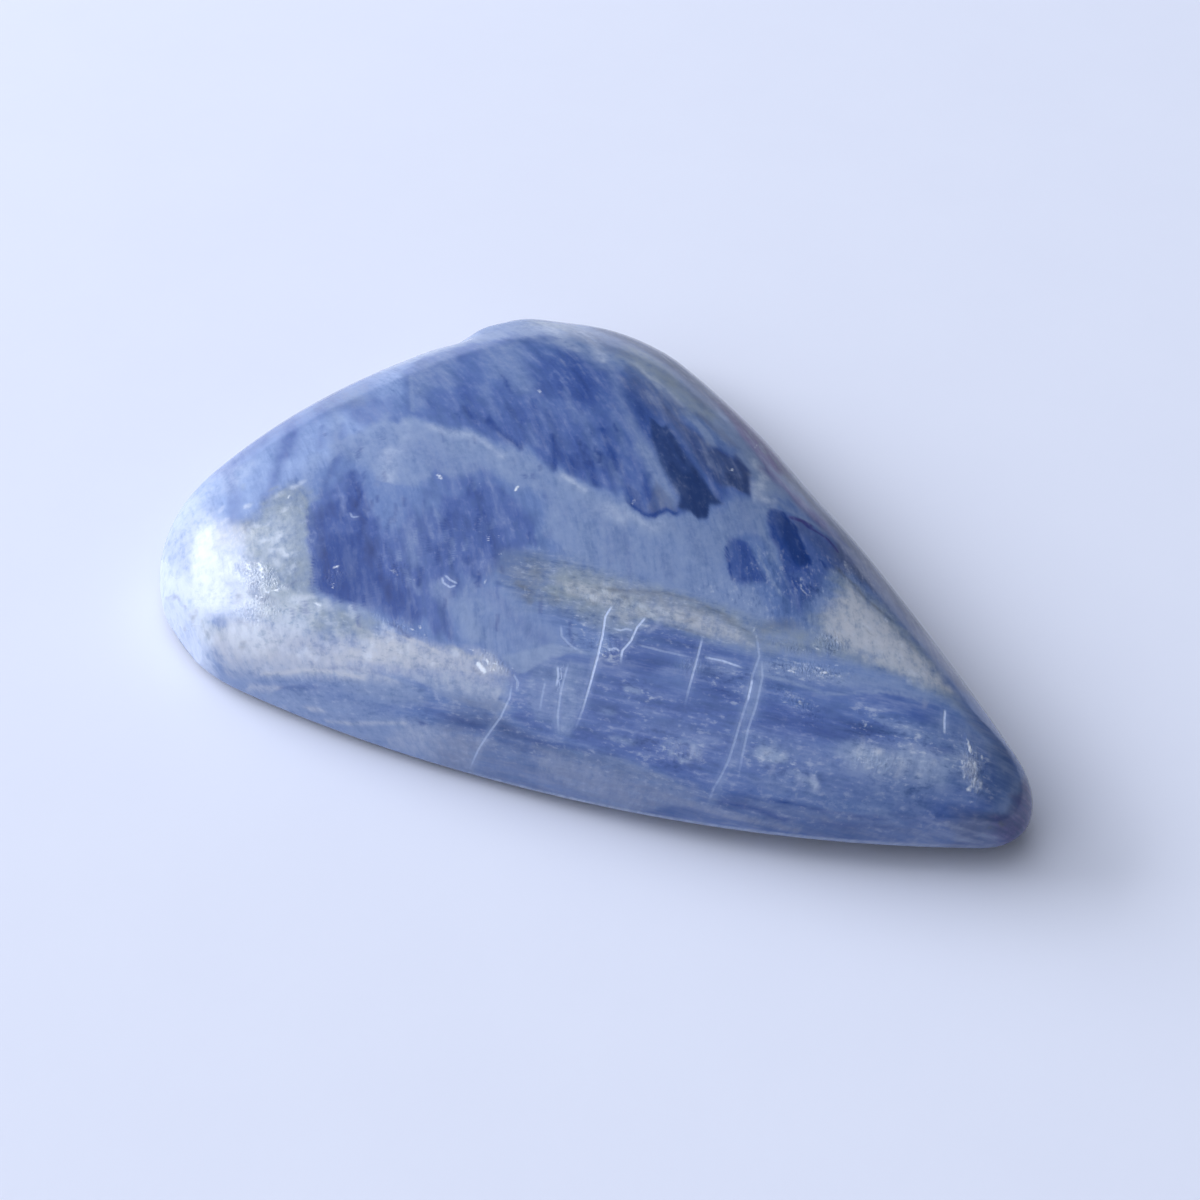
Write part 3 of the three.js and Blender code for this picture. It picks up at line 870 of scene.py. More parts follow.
streaks("khaki", STILL, [
    ([(-13.4, -12.9), (-12.4, -13.1), (-11.6, -13.2)], 0.5, 0.4, 0.5),
    ([(-12, -13.3), (-11.2, -13.6)], 0.3, 0.3, 0.45),
    ([(-14.2, -8), (-13.6, -8.4)], 0.6, 0.6, 0.4),
    ([(-14.8, -9.6), (-14, -10.6)], 0.4, 0.6, 0.4),
    ([(-11, -12.8), (-10, -12.9), (-9.2, -13.2)], 0.3, 0.4, 0.45),
    ([(-8.4, -12.5), (-6.8, -12.9)], 0.5, 0.5, 0.4),
    ([(-20, -9.8), (-19.2, -10)], 0.3, 0.4, 0.3),
    ([(-3, -12.1), (-1.6, -12.1)], 0.15, 0.3, 0.5),
])
streaks("slate", STILL, [
    ([(-5.9, -12), (-5.5, -12.25), (-4.9, -12.3)], 0.08, 0.15, 0.6),
    ([(-1.6, -12.5), (-1.2, -12.65)], 0.08, 0.15, 0.5),
    ([(-19, -13.1), (-17.6, -13.25), (-16.6, -13.7), (-16.2, -14.2)], 0.1, 0.2, 0.5),
    ([(-13.2, -13.9), (-12.4, -14.1)], 0.12, 0.25, 0.4),
    ([(-12.2, -13.1), (-12, -13.7)], 0.12, 0.2, 0.4),
    ([(-16.3, -14), (-15.9, -14.6)], 0.12, 0.2, 0.4),
])
print("seam laid")

# %% [markdown]
# ## Blocks
# The pale parts of the stone have crumbled and healed again, so they are a mosaic of tiny blocks
# that differ a little in colour. They are strewn like the slivers, but each points anywhere and
# takes one of three pigments. None falls on the heart, whose cleaved edge stays clean.

# %% Blocks in the pale places
BLOCKS = [
    # middle, spread along and across, angle, how many, pigments, strength
    ((-13.6, -9.8), 1.6, 0.8, -60, 60, ("pearl", "khaki", "milk"), 0.5),
    ((-13, -12.4), 1.2, 0.7, -20, 60, ("pearl", "khaki", "slate"), 0.5),
    ((-9.6, -12.8), 1.8, 0.5, 5, 50, ("pearl", "khaki", "milk"), 0.45),
    ((-6, -13.3), 2, 0.4, 14, 40, ("pearl", "khaki", "cream"), 0.4),
    ((-14.8, -14.6), 1.2, 0.4, -5, 24, ("khaki", "moss", "pearl"), 0.4),
    ((-16.6, -10.4), 1.2, 0.9, -50, 40, ("pearl", "khaki", "milk"), 0.4),
    ((15.9, -8), 0.9, 0.3, 22, 60, ("milk", "cream", "deep"), 0.26),
    ((11.4, -10.25), 0.35, 0.12, 6, 20, ("milk", "cream", "milk"), 0.3),
    ((13.2, -10.3), 0.3, 0.08, 6, 8, ("pearl", "milk", "milk"), 0.25),
    ((8.2, -11.8), 0.6, 0.15, 10, 20, ("pearl", "milk", "deep"), 0.2),
    ((13.4, -3.2), 1.4, 0.5, -30, 40, ("pearl", "khaki", "cream"), 0.35),
    ((2.6, -7), 2, 0.4, 8, 50, ("pearl", "khaki", "moss"), 0.28),
    ((-9.6, -14.4), 2.2, 0.3, 12, 40, ("pearl", "khaki", "cream"), 0.35),
]
blocks = np.random.default_rng(29)
off_heart = 1 - patch(SKIN, HEART_EDGE, 0.2)
for *scatter, names, strength in BLOCKS:
    for line in strewn(blocks, scatter, None, (0.05, 0.45)):
        size = blocks.uniform(0.06, 0.34)
        name = names[blocks.integers(3)]
        show = strength * blocks.uniform(0.3, 1)
        lay(name, show * streak(STILL, line, size, 0.2) * off_heart)
print("blocks:", sum(scatter[4] for scatter in BLOCKS))

# %% [markdown]
# ## The khaki seam
# A creamy, olive-edged seam divides the milky middle from the blue near side. It follows the near
# edge's grain, and opens into a pale triangle at the right.

# %% The seam, its olive edge and the pale triangle
patches("khaki", EDGE, [
    ([(-0.6, -6.4), (1, -6), (4, -5.5), (6.4, -5.2), (8.6, -5.2), (10, -4.4), (10.4, -2), (9.8, 0.4),
      (12.6, -0.4), (14.8, -2), (16.6, -3.6), (17.6, -4.1), (15.2, -4.3), (12, -5), (9.4, -6.2),
      (8.6, -6.6), (6.8, -7), (4.4, -7.2), (4, -8.4), (2.4, -8.6), (1.2, -8.2), (-0.6, -8.4)], 0.9, 0.5),
    ([(-2.4, -6.6), (-0.8, -6), (2, -6.4), (1.6, -8.2), (-0.6, -8.8), (-2, -8.2)], 1.8, 0.4),
    ([(-0.6, -6.8), (0.8, -6.5), (3.8, -6.6), (3.9, -7.4), (1.6, -7.9), (-0.2, -7.8)], 1, 0.3),
])
patches("cream", EDGE, [
    ([(4, -6.9), (4.8, -6.2), (6.4, -5.9), (7.6, -6), (8.2, -6.4), (6.6, -6.8), (5, -7)], 0.5, 0.42),
    ([(-0.4, -7.4), (0.6, -6.9), (2, -6.9), (2.6, -7.3), (1.2, -7.7)], 0.5, 0.38),
    ([(2.6, -7), (3.8, -7.1), (3.7, -7.8), (2.6, -8)], 0.4, 0.25),
])
patches("milk", STILL, [
    ([(9.6, -0.6), (11.4, -0.9), (13, -1.5), (16.8, -3.2), (17.4, -4.2), (12, -5), (9.6, -4.6)], 1.0, 0.4),
    ([(9.4, -0.2), (11.2, -0.6), (13.4, -1.4), (14.4, -2), (13, -2.4), (10.6, -1.6)], 0.6, 0.3),
    ([(11.4, -4.6), (13.2, -4.4), (13.6, -5), (12, -5.5)], 0.5, 0.4),
])
patches("cream", STILL, [
    ([(10.6, -0.5), (11.4, -0.95), (12.9, -1.6), (15, -2.5), (16.6, -3.4), (15.8, -3.9), (12.6, -4.4),
      (11, -4.1), (10.5, -3.2), (10.4, -1.8)], 0.9, 0.62),
    ([(11.2, -1.5), (12.8, -2.1), (14.2, -2.6), (13.6, -3.4), (12, -3.8), (11.2, -3.2)], 0.8, 0.5),
    ([(1, -6.5), (4.2, -5.9), (7, -5.9), (6.6, -6.6), (2, -7.3)], 0.9, 0.22),
])
streaks("moss", EDGE, [
    ([(1.8, -6.7), (3, -6.2), (4.2, -5.7), (5.4, -5.5), (6.6, -5.6), (8, -5.8)], 0.16, 0.35, 0.6),
    ([(3.2, -6.4), (4.6, -6), (6, -5.8)], 0.3, 0.4, 0.3),
    ([(-1.8, -8.1), (-1.3, -8.5), (-0.7, -8.7)], 0.25, 0.3, 0.45),
    ([(-0.6, -8.1), (0.2, -8.3)], 0.2, 0.3, 0.35),
    ([(0, -7.7), (1.2, -7.8)], 0.15, 0.3, 0.35),
    ([(5, -7.1), (6.6, -6.9)], 0.1, 0.2, 0.35),
])
streaks("moss", STILL, [
    ([(9.7, 0.2), (10.6, -0.2), (11.2, -0.6), (12, -1), (12.9, -1.2)], 0.14, 0.25, 0.6),
    ([(12.9, -1.6), (13.8, -1.9), (14.6, -2.3)], 0.14, 0.25, 0.25),
    ([(11.8, -2.6), (12.4, -2.9)], 0.1, 0.3, 0.35),
    ([(9.6, -4.4), (8.6, -5.2)], 0.5, 0.6, 0.35),
])
patches("slate", LONG, [
    ([(8.8, 3.9), (10.4, 3), (12.4, 1.6), (14.2, 0.1), (17.4, -2.4), (17, -3), (14.8, -1.7), (12.8, -0.6),
      (11.4, -0.1), (10, 0.6), (8.8, 1.6)], 0.6, 0.66),
])
patches("slate", STILL, [
    ([(6.6, 3.9), (8.4, 3.2), (10.6, 1.6), (12.2, 0.8), (11.6, 0.2), (9.6, 1.4), (7.4, 2.9)], 0.7, 0.4),
])
patches("moss", STILL, [
    ([(-3.4, -6.8), (-1.6, -6.2), (-0.6, -7.6), (-1.4, -8.6), (-3.2, -8.2)], 0.9, 0.34),
    ([(-17, -9.4), (-15.2, -9), (-14.6, -10.2), (-16.4, -10.8)], 0.9, 0.36),
])
print("khaki seam laid")

# %% [markdown]
# ## The short blades
# Between the milky middle and the far side stand three short navy blades, cut off square.

# %% Three navy blades and the blue around them
patches("deep", STILL, [
    ([(6.2, 2.35), (8.6, 2.4), (10, 1.8), (10.3, 0.6), (9.4, -0.4), (9.6, -2), (9.4, -3.6), (8.4, -3.2),
      (7.6, -1.6), (8.6, -0.6), (7.4, 0.6)], 0.5, 0.62),
    ([(5.4, 1.9), (5.9, 2.25), (6.5, 2.1), (7.2, 1.2), (7.8, 0.4), (8.6, -0.5), (8.7, -1.2), (8, -1.7),
      (7.3, -0.9), (6.5, -0.1), (5.8, 0.8)], 0.16, 0.85),
    ([(4.9, -1.2), (5.6, -1.1), (6.4, -1.6), (7.3, -2.5), (7.7, -3), (7.2, -3.2), (6.8, -3.6), (6.2, -3.65),
      (5.6, -2.8), (5.1, -2)], 0.25, 0.8),
    ([(8, -2), (9.2, -1.8), (9.8, -3.8), (8.8, -4)], 0.7, 0.3),
])
streaks("ink", STILL, [
    ([(6.1, 2.15), (6.6, 1.75), (7.3, 0.95), (7.9, 0.25), (8.5, -0.5)], 0.26, 0.18, 0.9),
    ([(6.5, 1.1), (7.2, 0.2), (7.9, -0.7)], 0.6, 0.6, 0.5),
    ([(5.55, 1.6), (6, 0.85), (6.5, 0.1)], 0.08, 0.12, 0.5),
    ([(5.1, -1.9), (5.6, -2.7), (6.2, -3.5)], 0.13, 0.14, 0.75),
    ([(6.4, -1.7), (7, -2.3), (7.5, -2.9)], 0.12, 0.16, 0.6),
    ([(5.5, -1.5), (6.2, -2.2), (6.9, -3)], 0.5, 0.6, 0.4),
    ([(6.5, -3.1), (6.9, -3.4)], 0.1, 0.15, 0.6),
    ([(8, 1.4), (8.8, 0.7), (9.3, 0.2)], 0.6, 0.7, 0.4),
    ([(7.4, -1), (8.2, -1.9), (8.9, -2.6)], 0.12, 0.2, 0.55),
    ([(8.4, 3.2), (9.2, 2.7)], 0.35, 0.4, 0.55),
    ([(7, 3.9), (7.6, 3.4), (8.2, 3.3)], 0.3, 0.5, 0.4),
    ([(8.75, 0.05), (9.2, -0.25)], 0.16, 0.2, 0.75),
    ([(9, 2.2), (10, 1.4)], 0.4, 0.5, 0.4),
    ([(6.65, 2.2), (7, 2.35), (7.5, 2.25)], 0.28, 0.14, 0.5),
    ([(7.5, 2.2), (8.3, 2.05), (8.8, 1.75), (9.1, 1.5)], 0.13, 0.14, 0.6),
])
patches("navy", STILL, [
    ([(5.9, 1.9), (6.5, 1.9), (7.3, 1), (8.5, -0.5), (8.3, -1), (7.4, -0.4), (6.6, 0.6)], 0.4, 0.4),
])
patches("ink", STILL, [
    ([(5.5, 1.8), (6, 2.15), (6.5, 2), (7.2, 1.1), (8.5, -0.6), (8.4, -1.2), (7.4, -0.9), (6.5, 0)],
      0.3, 0.66),
    ([(5.2, -1.6), (6.2, -1.7), (7.3, -2.8), (6.4, -3.5), (5.7, -2.8)], 0.4, 0.16),
])
streaks("slate", LONG, [
    ([(7.2, 1.7), (8.6, 1.3), (9.8, 0.6)], 0.8, 0.7, 0.35),
    ([(9.4, 1.6), (10.8, 0.8)], 0.8, 0.7, 0.5),
])
streaks("violet", STILL, [
    ([(6.65, 2.2), (7, 2.35), (7.5, 2.25)], 0.28, 0.14, 0.9),
    ([(7.5, 2.2), (8.3, 2.05), (8.8, 1.75), (9.1, 1.5)], 0.13, 0.14, 0.85),
    ([(7.2, 3.6), (8.4, 2.9)], 0.6, 0.7, 0.35),
])
streaks("milk", STILL, [
    ([(6.2, -1), (7.2, -2.1), (8.3, -3.3)], 0.1, 0.16, 0.7),
    ([(7, -1), (8.2, -2.3), (9.2, -3.6)], 0.08, 0.16, 0.55),
    ([(6, 0.1), (6.7, -0.7), (7.1, -1.3)], 0.3, 0.4, 0.5),
    ([(5.4, 2.75), (6.6, 2.6), (8.2, 2.55)], 0.26, 0.3, 0.5),
    ([(7, -3.6), (7.8, -4.2), (8.4, -5)], 0.5, 0.5, 0.4),
])
print("short blades laid")

# %% [markdown]
# ## The blue near side
# Below the khaki seam the blades turn and run along the near edge. This is a clear mid blue with
# ink-blue streaks near its top, milky clouds lower down, and a grey flank at the very edge.

# %% Near-side blue and its clouds
patches("deep", EDGE, [
    ([(0.4, -11.8), (0.8, -10.9), (1.6, -10.3), (3, -10), (2.8, -9), (4.2, -8), (4.4, -7.3), (7, -7.1),
      (9, -6.8), (12, -5.8), (14.4, -5.1), (16.8, -4.6), (19, -5), (20.4, -7.6), (16, -9.8), (11, -12.6),
      (6, -13.2), (2, -13.9), (0.5, -13.6)], 0.3, 0.42),
    ([(3.2, -8.9), (5.8, -8.5), (6.2, -9.4), (4.4, -9.9), (3, -9.9)], 0.4, 0.4),
    ([(4.4, -7.5), (8, -7.3), (9.2, -8.6), (9.2, -9.4), (7.6, -9.4), (6.4, -8.4)], 0.6, 0.4),
    ([(10.2, -8.3), (12.4, -7.8), (14.8, -7.2), (15, -7.8), (13, -8.7), (10.4, -9.6)], 0.5, 0.5),
    ([(13.2, -6.4), (14.8, -5.2), (16.8, -4.8), (17, -5.8), (15.4, -6.2)], 0.4, 0.45),
    ([(3.9, -9.9), (9.4, -9.6), (9.6, -12.6), (4, -13.4)], 0.9, 0.4),
    ([(10, -8.8), (13, -8.2), (13.2, -9.4), (10.4, -10)], 0.7, 0.3),
])
streaks("ink", EDGE, [
    ([(3.3, -9.7), (4.4, -9.5), (5.6, -9.2)], 0.4, 0.5, 0.4),
    ([(4.2, -8.6), (5.4, -8.3)], 0.16, 0.3, 0.35),
    ([(8.2, -8.9), (9.2, -8.8)], 0.4, 0.5, 0.4),
    ([(13, -7.6), (14.4, -7.4)], 0.3, 0.5, 0.42),
    ([(10.4, -9.3), (11.4, -8.8), (12.6, -8.4)], 0.25, 0.5, 0.35),
    ([(1.2, -13.5), (3.2, -14), (5, -13.7)], 0.3, 0.5, 0.32),
    ([(17, -6.8), (17.6, -6.4)], 0.3, 0.4, 0.4),
])
streaks("ink", STILL, [
    ([(1.25, -8.9), (1.4, -9.5), (1.9, -9.9)], 0.1, 0.15, 0.5),
    ([(3, -9.9), (3.6, -10.1), (4, -9.9)], 0.08, 0.12, 0.4),
    ([(9.75, -9.6), (10, -10.3)], 0.07, 0.12, 0.5),
])
streaks("milk", EDGE, [
    ([(9.6, -7.4), (11.2, -7), (12.6, -6.8), (13.2, -6.5), (14, -5.9), (15, -5.2), (15.6, -5)],
      0.12, 0.22, 0.75),
    ([(9.8, -6.9), (11.4, -6.4), (13, -5.8), (14.4, -5), (16, -4.5)], 0.9, 0.7, 0.5),
    ([(9.8, -6.6), (12, -6), (13.8, -5.4)], 0.5, 0.6, 0.35),
    ([(14.4, -8.5), (16, -8), (17.6, -7.4)], 1.2, 0.8, 0.66),
    ([(14.7, -8.4), (15.8, -8.2)], 0.4, 0.4, 0.7),
    ([(17, -5.6), (18.6, -5), (19.8, -5.4)], 0.8, 0.8, 0.4),
    ([(15, -6.8), (16.6, -6.4)], 0.35, 0.5, 0.5),
    ([(10.8, -10.3), (11.7, -10.2)], 0.5, 0.3, 0.8),
    ([(12.9, -10.3), (13.4, -10.25)], 0.25, 0.3, 0.6),
    ([(5.3, -10.5), (5.7, -10.4)], 0.25, 0.25, 0.7),
    ([(12, -11.2), (15, -10.2), (18, -8.8)], 1, 1, 0.35),
    ([(4.4, -11.9), (4.8, -11.8)], 0.25, 0.3, 0.45),
    ([(5.6, -12.6), (6.4, -12.4)], 0.22, 0.25, 0.55),
    ([(6.4, -8.6), (7.6, -8.2), (8.4, -7.9)], 0.5, 0.6, 0.35),
    ([(6.6, -11.4), (9, -10.8)], 0.5, 0.8, 0.25),
    ([(11, -9.9), (14, -9.3), (17, -8.6), (19.4, -7.6)], 0.8, 1, 0.3),
])
streaks("milk", STILL, [
    ([(7.4, -12), (7.6, -11.7), (8.2, -11.4), (8.8, -11.4), (8.9, -11.7), (8.4, -12.1), (7.8, -12.1)],
      0.16, 0.2, 0.45),
    ([(1.5, -9.2), (1.8, -9.5)], 0.3, 0.3, 0.4),
])
patches("milk", STILL, [
    ([(-0.6, -11.6), (0.2, -10.9), (1, -10.2), (2, -10), (3, -9.9), (2, -10.3), (1.2, -10.8), (0.7, -11.7),
      (0.3, -12)], 0.2, 0.7),
    ([(0.9, -11), (2.6, -10.5), (3.5, -12.4), (3.5, -13.5), (1.8, -13.4), (0.8, -12.6)], 0.5, 0.38),
    ([(2.1, -10.6), (3.1, -10.3), (3.6, -12.6), (3.5, -13.6), (3.1, -13.6)], 0.15, 0.3),
])
print("near side laid")

# %% [markdown]
# ## The flank
# Along the very edge the blades are seen from the side: thin stripes, one over another, that
# follow the girdle from end to end.

# %% Stripes of the near flank
patches("slate", EDGE, [
    ([(-16, -16.2), (-12, -15.9), (-8, -14.9), (-4.6, -14.3), (-2, -13.9), (0.2, -13.4), (0.4, -13.8),
      (3, -14.1), (5.4, -13.4), (10, -12.6), (14, -11), (18.6, -9), (21, -7), (24, -4), (26, -8), (10, -18),
      (-16, -20)], 0.6, 0.42),
])
patches("milk", EDGE, [
    ([(1.8, -14.7), (3.4, -14.05), (5.4, -13.4), (8, -13), (10, -13.2), (9, -14.4), (7, -16), (3, -15.4)],
      0.3, 0.66),
    ([(-15.4, -15.6), (-12, -15.3), (-9, -14.8), (-5.4, -14), (-6.4, -14.6), (-9.6, -15.4), (-14, -16.6)],
      0.5, 0.55),
    ([(-12, -16.4), (-7, -16), (-3, -15.6), (0, -15.4), (8, -14.6), (8, -17), (-4, -18.6), (-12, -18)],
      0.8, 0.5),
    ([(-4.4, -13.9), (-2.6, -13.2), (0.2, -12.8), (0.2, -13.9), (-2.6, -14.3)], 0.4, 0.7),
    ([(-3.4, -15.3), (0, -15.2), (-0.4, -17.2), (-5, -17.4), (-7.4, -17.2), (-6, -16.2)], 0.6, 0.35),
])
streaks("milk", EDGE, [
    ([(-12.4, -16), (-11.2, -15.7), (-10, -15.3), (-8.5, -14.95)], 0.1, 0.2, 0.85),
    ([(-9.4, -16.7), (-8.5, -16.5)], 0.2, 0.25, 0.6),
    ([(-8.6, -17.1), (-7, -16.8), (-5.4, -16.3), (-4.4, -16)], 0.2, 0.3, 0.6),
    ([(-7.6, -16.2), (-6.4, -15.8)], 0.2, 0.3, 0.45),
    ([(-13.6, -16.8), (-11.6, -16.5)], 0.3, 0.4, 0.45),
    ([(-1.5, -16.2), (-0.8, -15.95)], 0.3, 0.25, 0.65),
    ([(-3, -15.7), (0, -15.4), (4, -15.1)], 0.14, 0.3, 0.4),
    ([(-6.2, -13.7), (-3.4, -13.3), (-1.6, -13)], 0.16, 0.3, 0.4),
    ([(-4.6, -14.5), (-3, -14.3)], 0.12, 0.25, 0.35),
    ([(9.6, -13.5), (11.4, -13), (13, -12.4), (14.4, -11.9)], 0.25, 0.35, 0.5),
    ([(11.6, -12.1), (13, -11.7), (15, -11)], 0.1, 0.25, 0.4),
    ([(13.4, -11.2), (15.4, -10.4), (17, -9.6)], 0.08, 0.2, 0.35),
])
streaks("ink", EDGE, [
    ([(10.6, -12.75), (12.2, -12.2), (13.6, -11.9)], 0.14, 0.2, 0.6),
    ([(12.4, -11.6), (14.6, -10.8), (16.6, -9.9)], 0.12, 0.2, 0.55),
    ([(14.6, -11.4), (17.4, -9.9)], 0.1, 0.2, 0.4),
    ([(1.8, -14.45), (3.2, -14), (4.4, -13.65), (5.6, -13.3)], 0.07, 0.15, 0.5),
    ([(-3.6, -15.75), (-3.2, -15.6)], 0.14, 0.15, 0.65),
    ([(11, -12.7), (12.2, -12.2), (13.2, -12)], 0.08, 0.2, 0.4),
    ([(12.6, -11.5), (14.6, -10.8), (16.4, -10)], 0.08, 0.2, 0.4),
    ([(-9, -14.95), (-7.4, -14.45), (-5.6, -14.2)], 0.07, 0.15, 0.35),
    ([(-11.6, -16.3), (-9.4, -15.75)], 0.08, 0.2, 0.35),
])
streaks("deep", EDGE, [
    ([(-12.4, -16.5), (-9.6, -15.9), (-6.4, -15.2), (-3.4, -14.8), (-0.3, -14.8)], 0.35, 0.4, 0.6),
    ([(-8.6, -16.2), (-6.6, -15.6), (-4.4, -15.3)], 0.25, 0.3, 0.4),
    ([(-8, -17.2), (-6, -16.7)], 0.2, 0.3, 0.45),
    ([(0.5, -14.4), (3, -14.3)], 0.4, 0.5, 0.4),
    ([(17.6, -9.2), (19.4, -8.4), (20.6, -7.8)], 0.8, 0.7, 0.55),
])
patches("pearl", STILL, [
    ([(-13.6, -14.1), (-12, -14), (-11.2, -14.6), (-12.4, -15.2), (-13.6, -15)], 0.6, 0.34),
])
patches("milk", STILL, [
    ([(-15, -16), (-8, -16.2), (-2, -15.7), (0, -16), (0, -18), (-15, -17.8)], 0.9, 0.5),
    ([(-7.4, -14.6), (-4.4, -14.2), (-3.6, -14.8), (-5.6, -15.6), (-7.6, -15.4)], 0.7, 0.4),
])
streaks("milk", STILL, [
    ([(4, -14), (4.5, -15.2), (5, -16.4)], 0.14, 0.3, 0.42),
    ([(5.2, -13.9), (5.6, -15), (6, -16)], 0.14, 0.3, 0.42),
    ([(6.2, -13.8), (6.6, -14.6), (6.9, -15.4)], 0.12, 0.3, 0.35),
    ([(7.4, -13.6), (7.7, -14.6)], 0.1, 0.25, 0.3),
    ([(0.1, -12.6), (0.25, -13.4), (0.1, -14.4), (-0.25, -15.6), (-0.6, -17)], 0.22, 0.3, 0.5),
    ([(9.15, -6.8), (9.5, -7.8), (9.8, -9)], 0.5, 0.35, 0.4),
    ([(9.8, -9.2), (10.3, -11.2)], 0.5, 0.4, 0.3),
    ([(10.3, -11.8), (10.6, -13)], 0.3, 0.35, 0.4),
])
NEAR_LEFT = [(-20, -13.6), (-12, -14.2), (-4, -13.2), (-2, -14), (-3, -18.4), (-20, -18)]
lift("slate", 0.85 * patch(SKIN, NEAR_LEFT, 1.6))
lift("deep", 0.45 * patch(SKIN, NEAR_LEFT, 1.6))
patches("milk", EDGE, [
    ([(-16, -14.6), (-10, -14.9), (-4.6, -14), (-3.4, -14.8), (-6, -16), (-12, -17.4), (-18, -17)],
      0.8, 0.55),
])
streaks("cream", EDGE, [
    ([(-12.6, -15.9), (-11.2, -15.6), (-10, -15.2), (-8.5, -14.9), (-7, -14.75)], 0.13, 0.16, 0.75),
    ([(-9.4, -16.7), (-8.5, -16.5)], 0.2, 0.25, 0.5),
    ([(-8.6, -17.1), (-7, -16.8), (-5.4, -16.3), (-4.4, -16)], 0.14, 0.2, 0.45),
    ([(-13.6, -16.6), (-11.6, -16.3)], 0.2, 0.3, 0.5),
    ([(9.6, -13.6), (11.4, -13.1), (13, -12.5), (14.4, -12)], 0.18, 0.25, 0.34),
])
patches("cream", EDGE, [
    ([(-5.6, -13.2), (-3, -12.7), (0.2, -12.5), (0.3, -13.5), (-3, -13.9), (-5.4, -14)], 0.6, 0.3),
    ([(-4.4, -15.9), (0, -15.2), (-0.6, -17.2), (-5, -17.4)], 0.8, 0.22),
    ([(2, -14.6), (9.6, -13.4), (8, -15), (3, -16)], 0.7, 0.18),
])
SEAM_GAP = [(-9.4, -12.9), (-7, -12.7), (-6.6, -13.5), (-8.4, -13.9), (-9.8, -13.7)]
for name in ("cream", "pearl"):
    lift(name, 0.5 * patch(STILL, SEAM_GAP, 0.7))
patches("cream", STILL, [
    ([(-13.8, -14), (-12, -13.9), (-10.8, -14.3), (-11.4, -15), (-13.4, -15.1)], 0.6, 0.6),
    ([(-6.4, -12.9), (-4.6, -12.5), (-4, -13.2), (-6, -13.5)], 0.5, 0.4),
])
print("flank laid")

# %% [markdown]
# ## The tip
# The narrow tip is ink blue inside and weathers to a grey-violet skin, with a nest of tiny pale
# crinkles where the blades were bruised.

# %% Ink, grey skin and bruises
patches("navy", EDGE, [
    ([(18.9, -4.6), (20.2, -4.8), (20.8, -6), (20.4, -7.2), (19.9, -7.4), (19.6, -6.4), (19, -5.6)],
      0.6, 0.26),
])
patches("slate", EDGE, [
    ([(20.9, -4.8), (21.6, -4.2), (25, -4.6), (25, -9.6), (21, -9.2), (19.6, -8.6), (20.9, -7.4)],
      0.4, 0.66),
    ([(17, -4), (18.4, -3.9), (20.6, -4.6), (19.6, -5), (18.2, -4.6)], 0.6, 0.35),
    ([(19.4, -8), (20.6, -7.6), (21, -8.4), (19.6, -9)], 0.5, 0.4),
])
patches("violet", EDGE, [
    ([(21, -5), (23.6, -5), (23.6, -7.6), (21.4, -7.8)], 0.8, 0.42),
])
streaks("pearl", STILL, [
    ([(14.6, -8.4), (16, -8), (17.4, -7.5)], 0.7, 0.8, 0.12),
])
patches("milk", STILL, [
    ([(17.8, -5.8), (18.8, -5.7), (19.7, -6.7), (20.1, -7.1), (19, -7.4), (18, -7.4)], 0.5, 0.5),
    ([(20.6, -5.4), (21.8, -5.4), (22.4, -6.6), (21.4, -8.2), (20.6, -7.4)], 0.7, 0.5),
    ([(15.6, -6.4), (18, -5.6), (18.4, -7.6), (16, -7.8)], 0.8, 0.3),
])
patches("cream", STILL, [
    ([(18.2, -6.2), (18.8, -6.1), (19.5, -6.9), (18.8, -7)], 0.5, 0.35),
])
streaks("moss", STILL, [
    ([(21.2, -7.35), (21.5, -7.4)], 0.14, 0.15, 0.7),
    ([(21, -7.7), (21.1, -7.7)], 0.12, 0.15, 0.6),
])
streaks("milk", STILL, [
    ([(16.6, -4.4), (17.4, -4.3), (18.2, -4.6)], 0.3, 0.4, 0.5),
    ([(17.5, -6.2), (17.8, -7), (18.1, -7.7)], 0.12, 0.25, 0.45),
    ([(17.1, -6), (17.4, -6.8)], 0.1, 0.2, 0.4),
    ([(18.5, -4.6), (19.2, -5.4), (19.7, -6.4)], 0.12, 0.2, 0.45),
    ([(17.9, -4.9), (18.5, -5.7)], 0.1, 0.2, 0.4),
])
print("tip laid")

# %% [markdown]
# ## The rim and the underside
# A thin pale line is painted along the near side of the rolled edge, a painted highlight where
# the edge catches the light. The bevel below it is painted dark, as painted shade under the stone,
# and made dull, so it hardly catches the light. The rings of vertices tell the two apart.

# %% A painted highlight on the edge over a painted-shade, dull bevel
RING_SIZE = 6 * RINGS
ring_down = (np.arange(len(SKIN)) - DOME_COUNT) // RING_SIZE + 1
rim_highlight = (ring_down >= 0) & (ring_down < 3)
underside_shade = ring_down >= 3
# painted highlight: a thin pale line where the near rim catches the light
lay("pearl", 0.5 * rim_highlight * ease((SKIN[:, 0] + 4) / 8) * ease((4 - SKIN[:, 1]) / 6))
# painted shade: the bevel under the stone is painted dark
lay("moss", 0.9 * underside_shade)
lay("ink", 0.85 * underside_shade)
lay("dull", 1.0 * underside_shade)
print("vertices under the rim:", underside_shade.sum())

# %% [markdown]
# ## Crumbled places
# Here and there the blades are bruised into a fine crumble of pale and dark bits. Only where that
# happens is drawn here. The bits themselves are noise in the material, so they stay sharp.

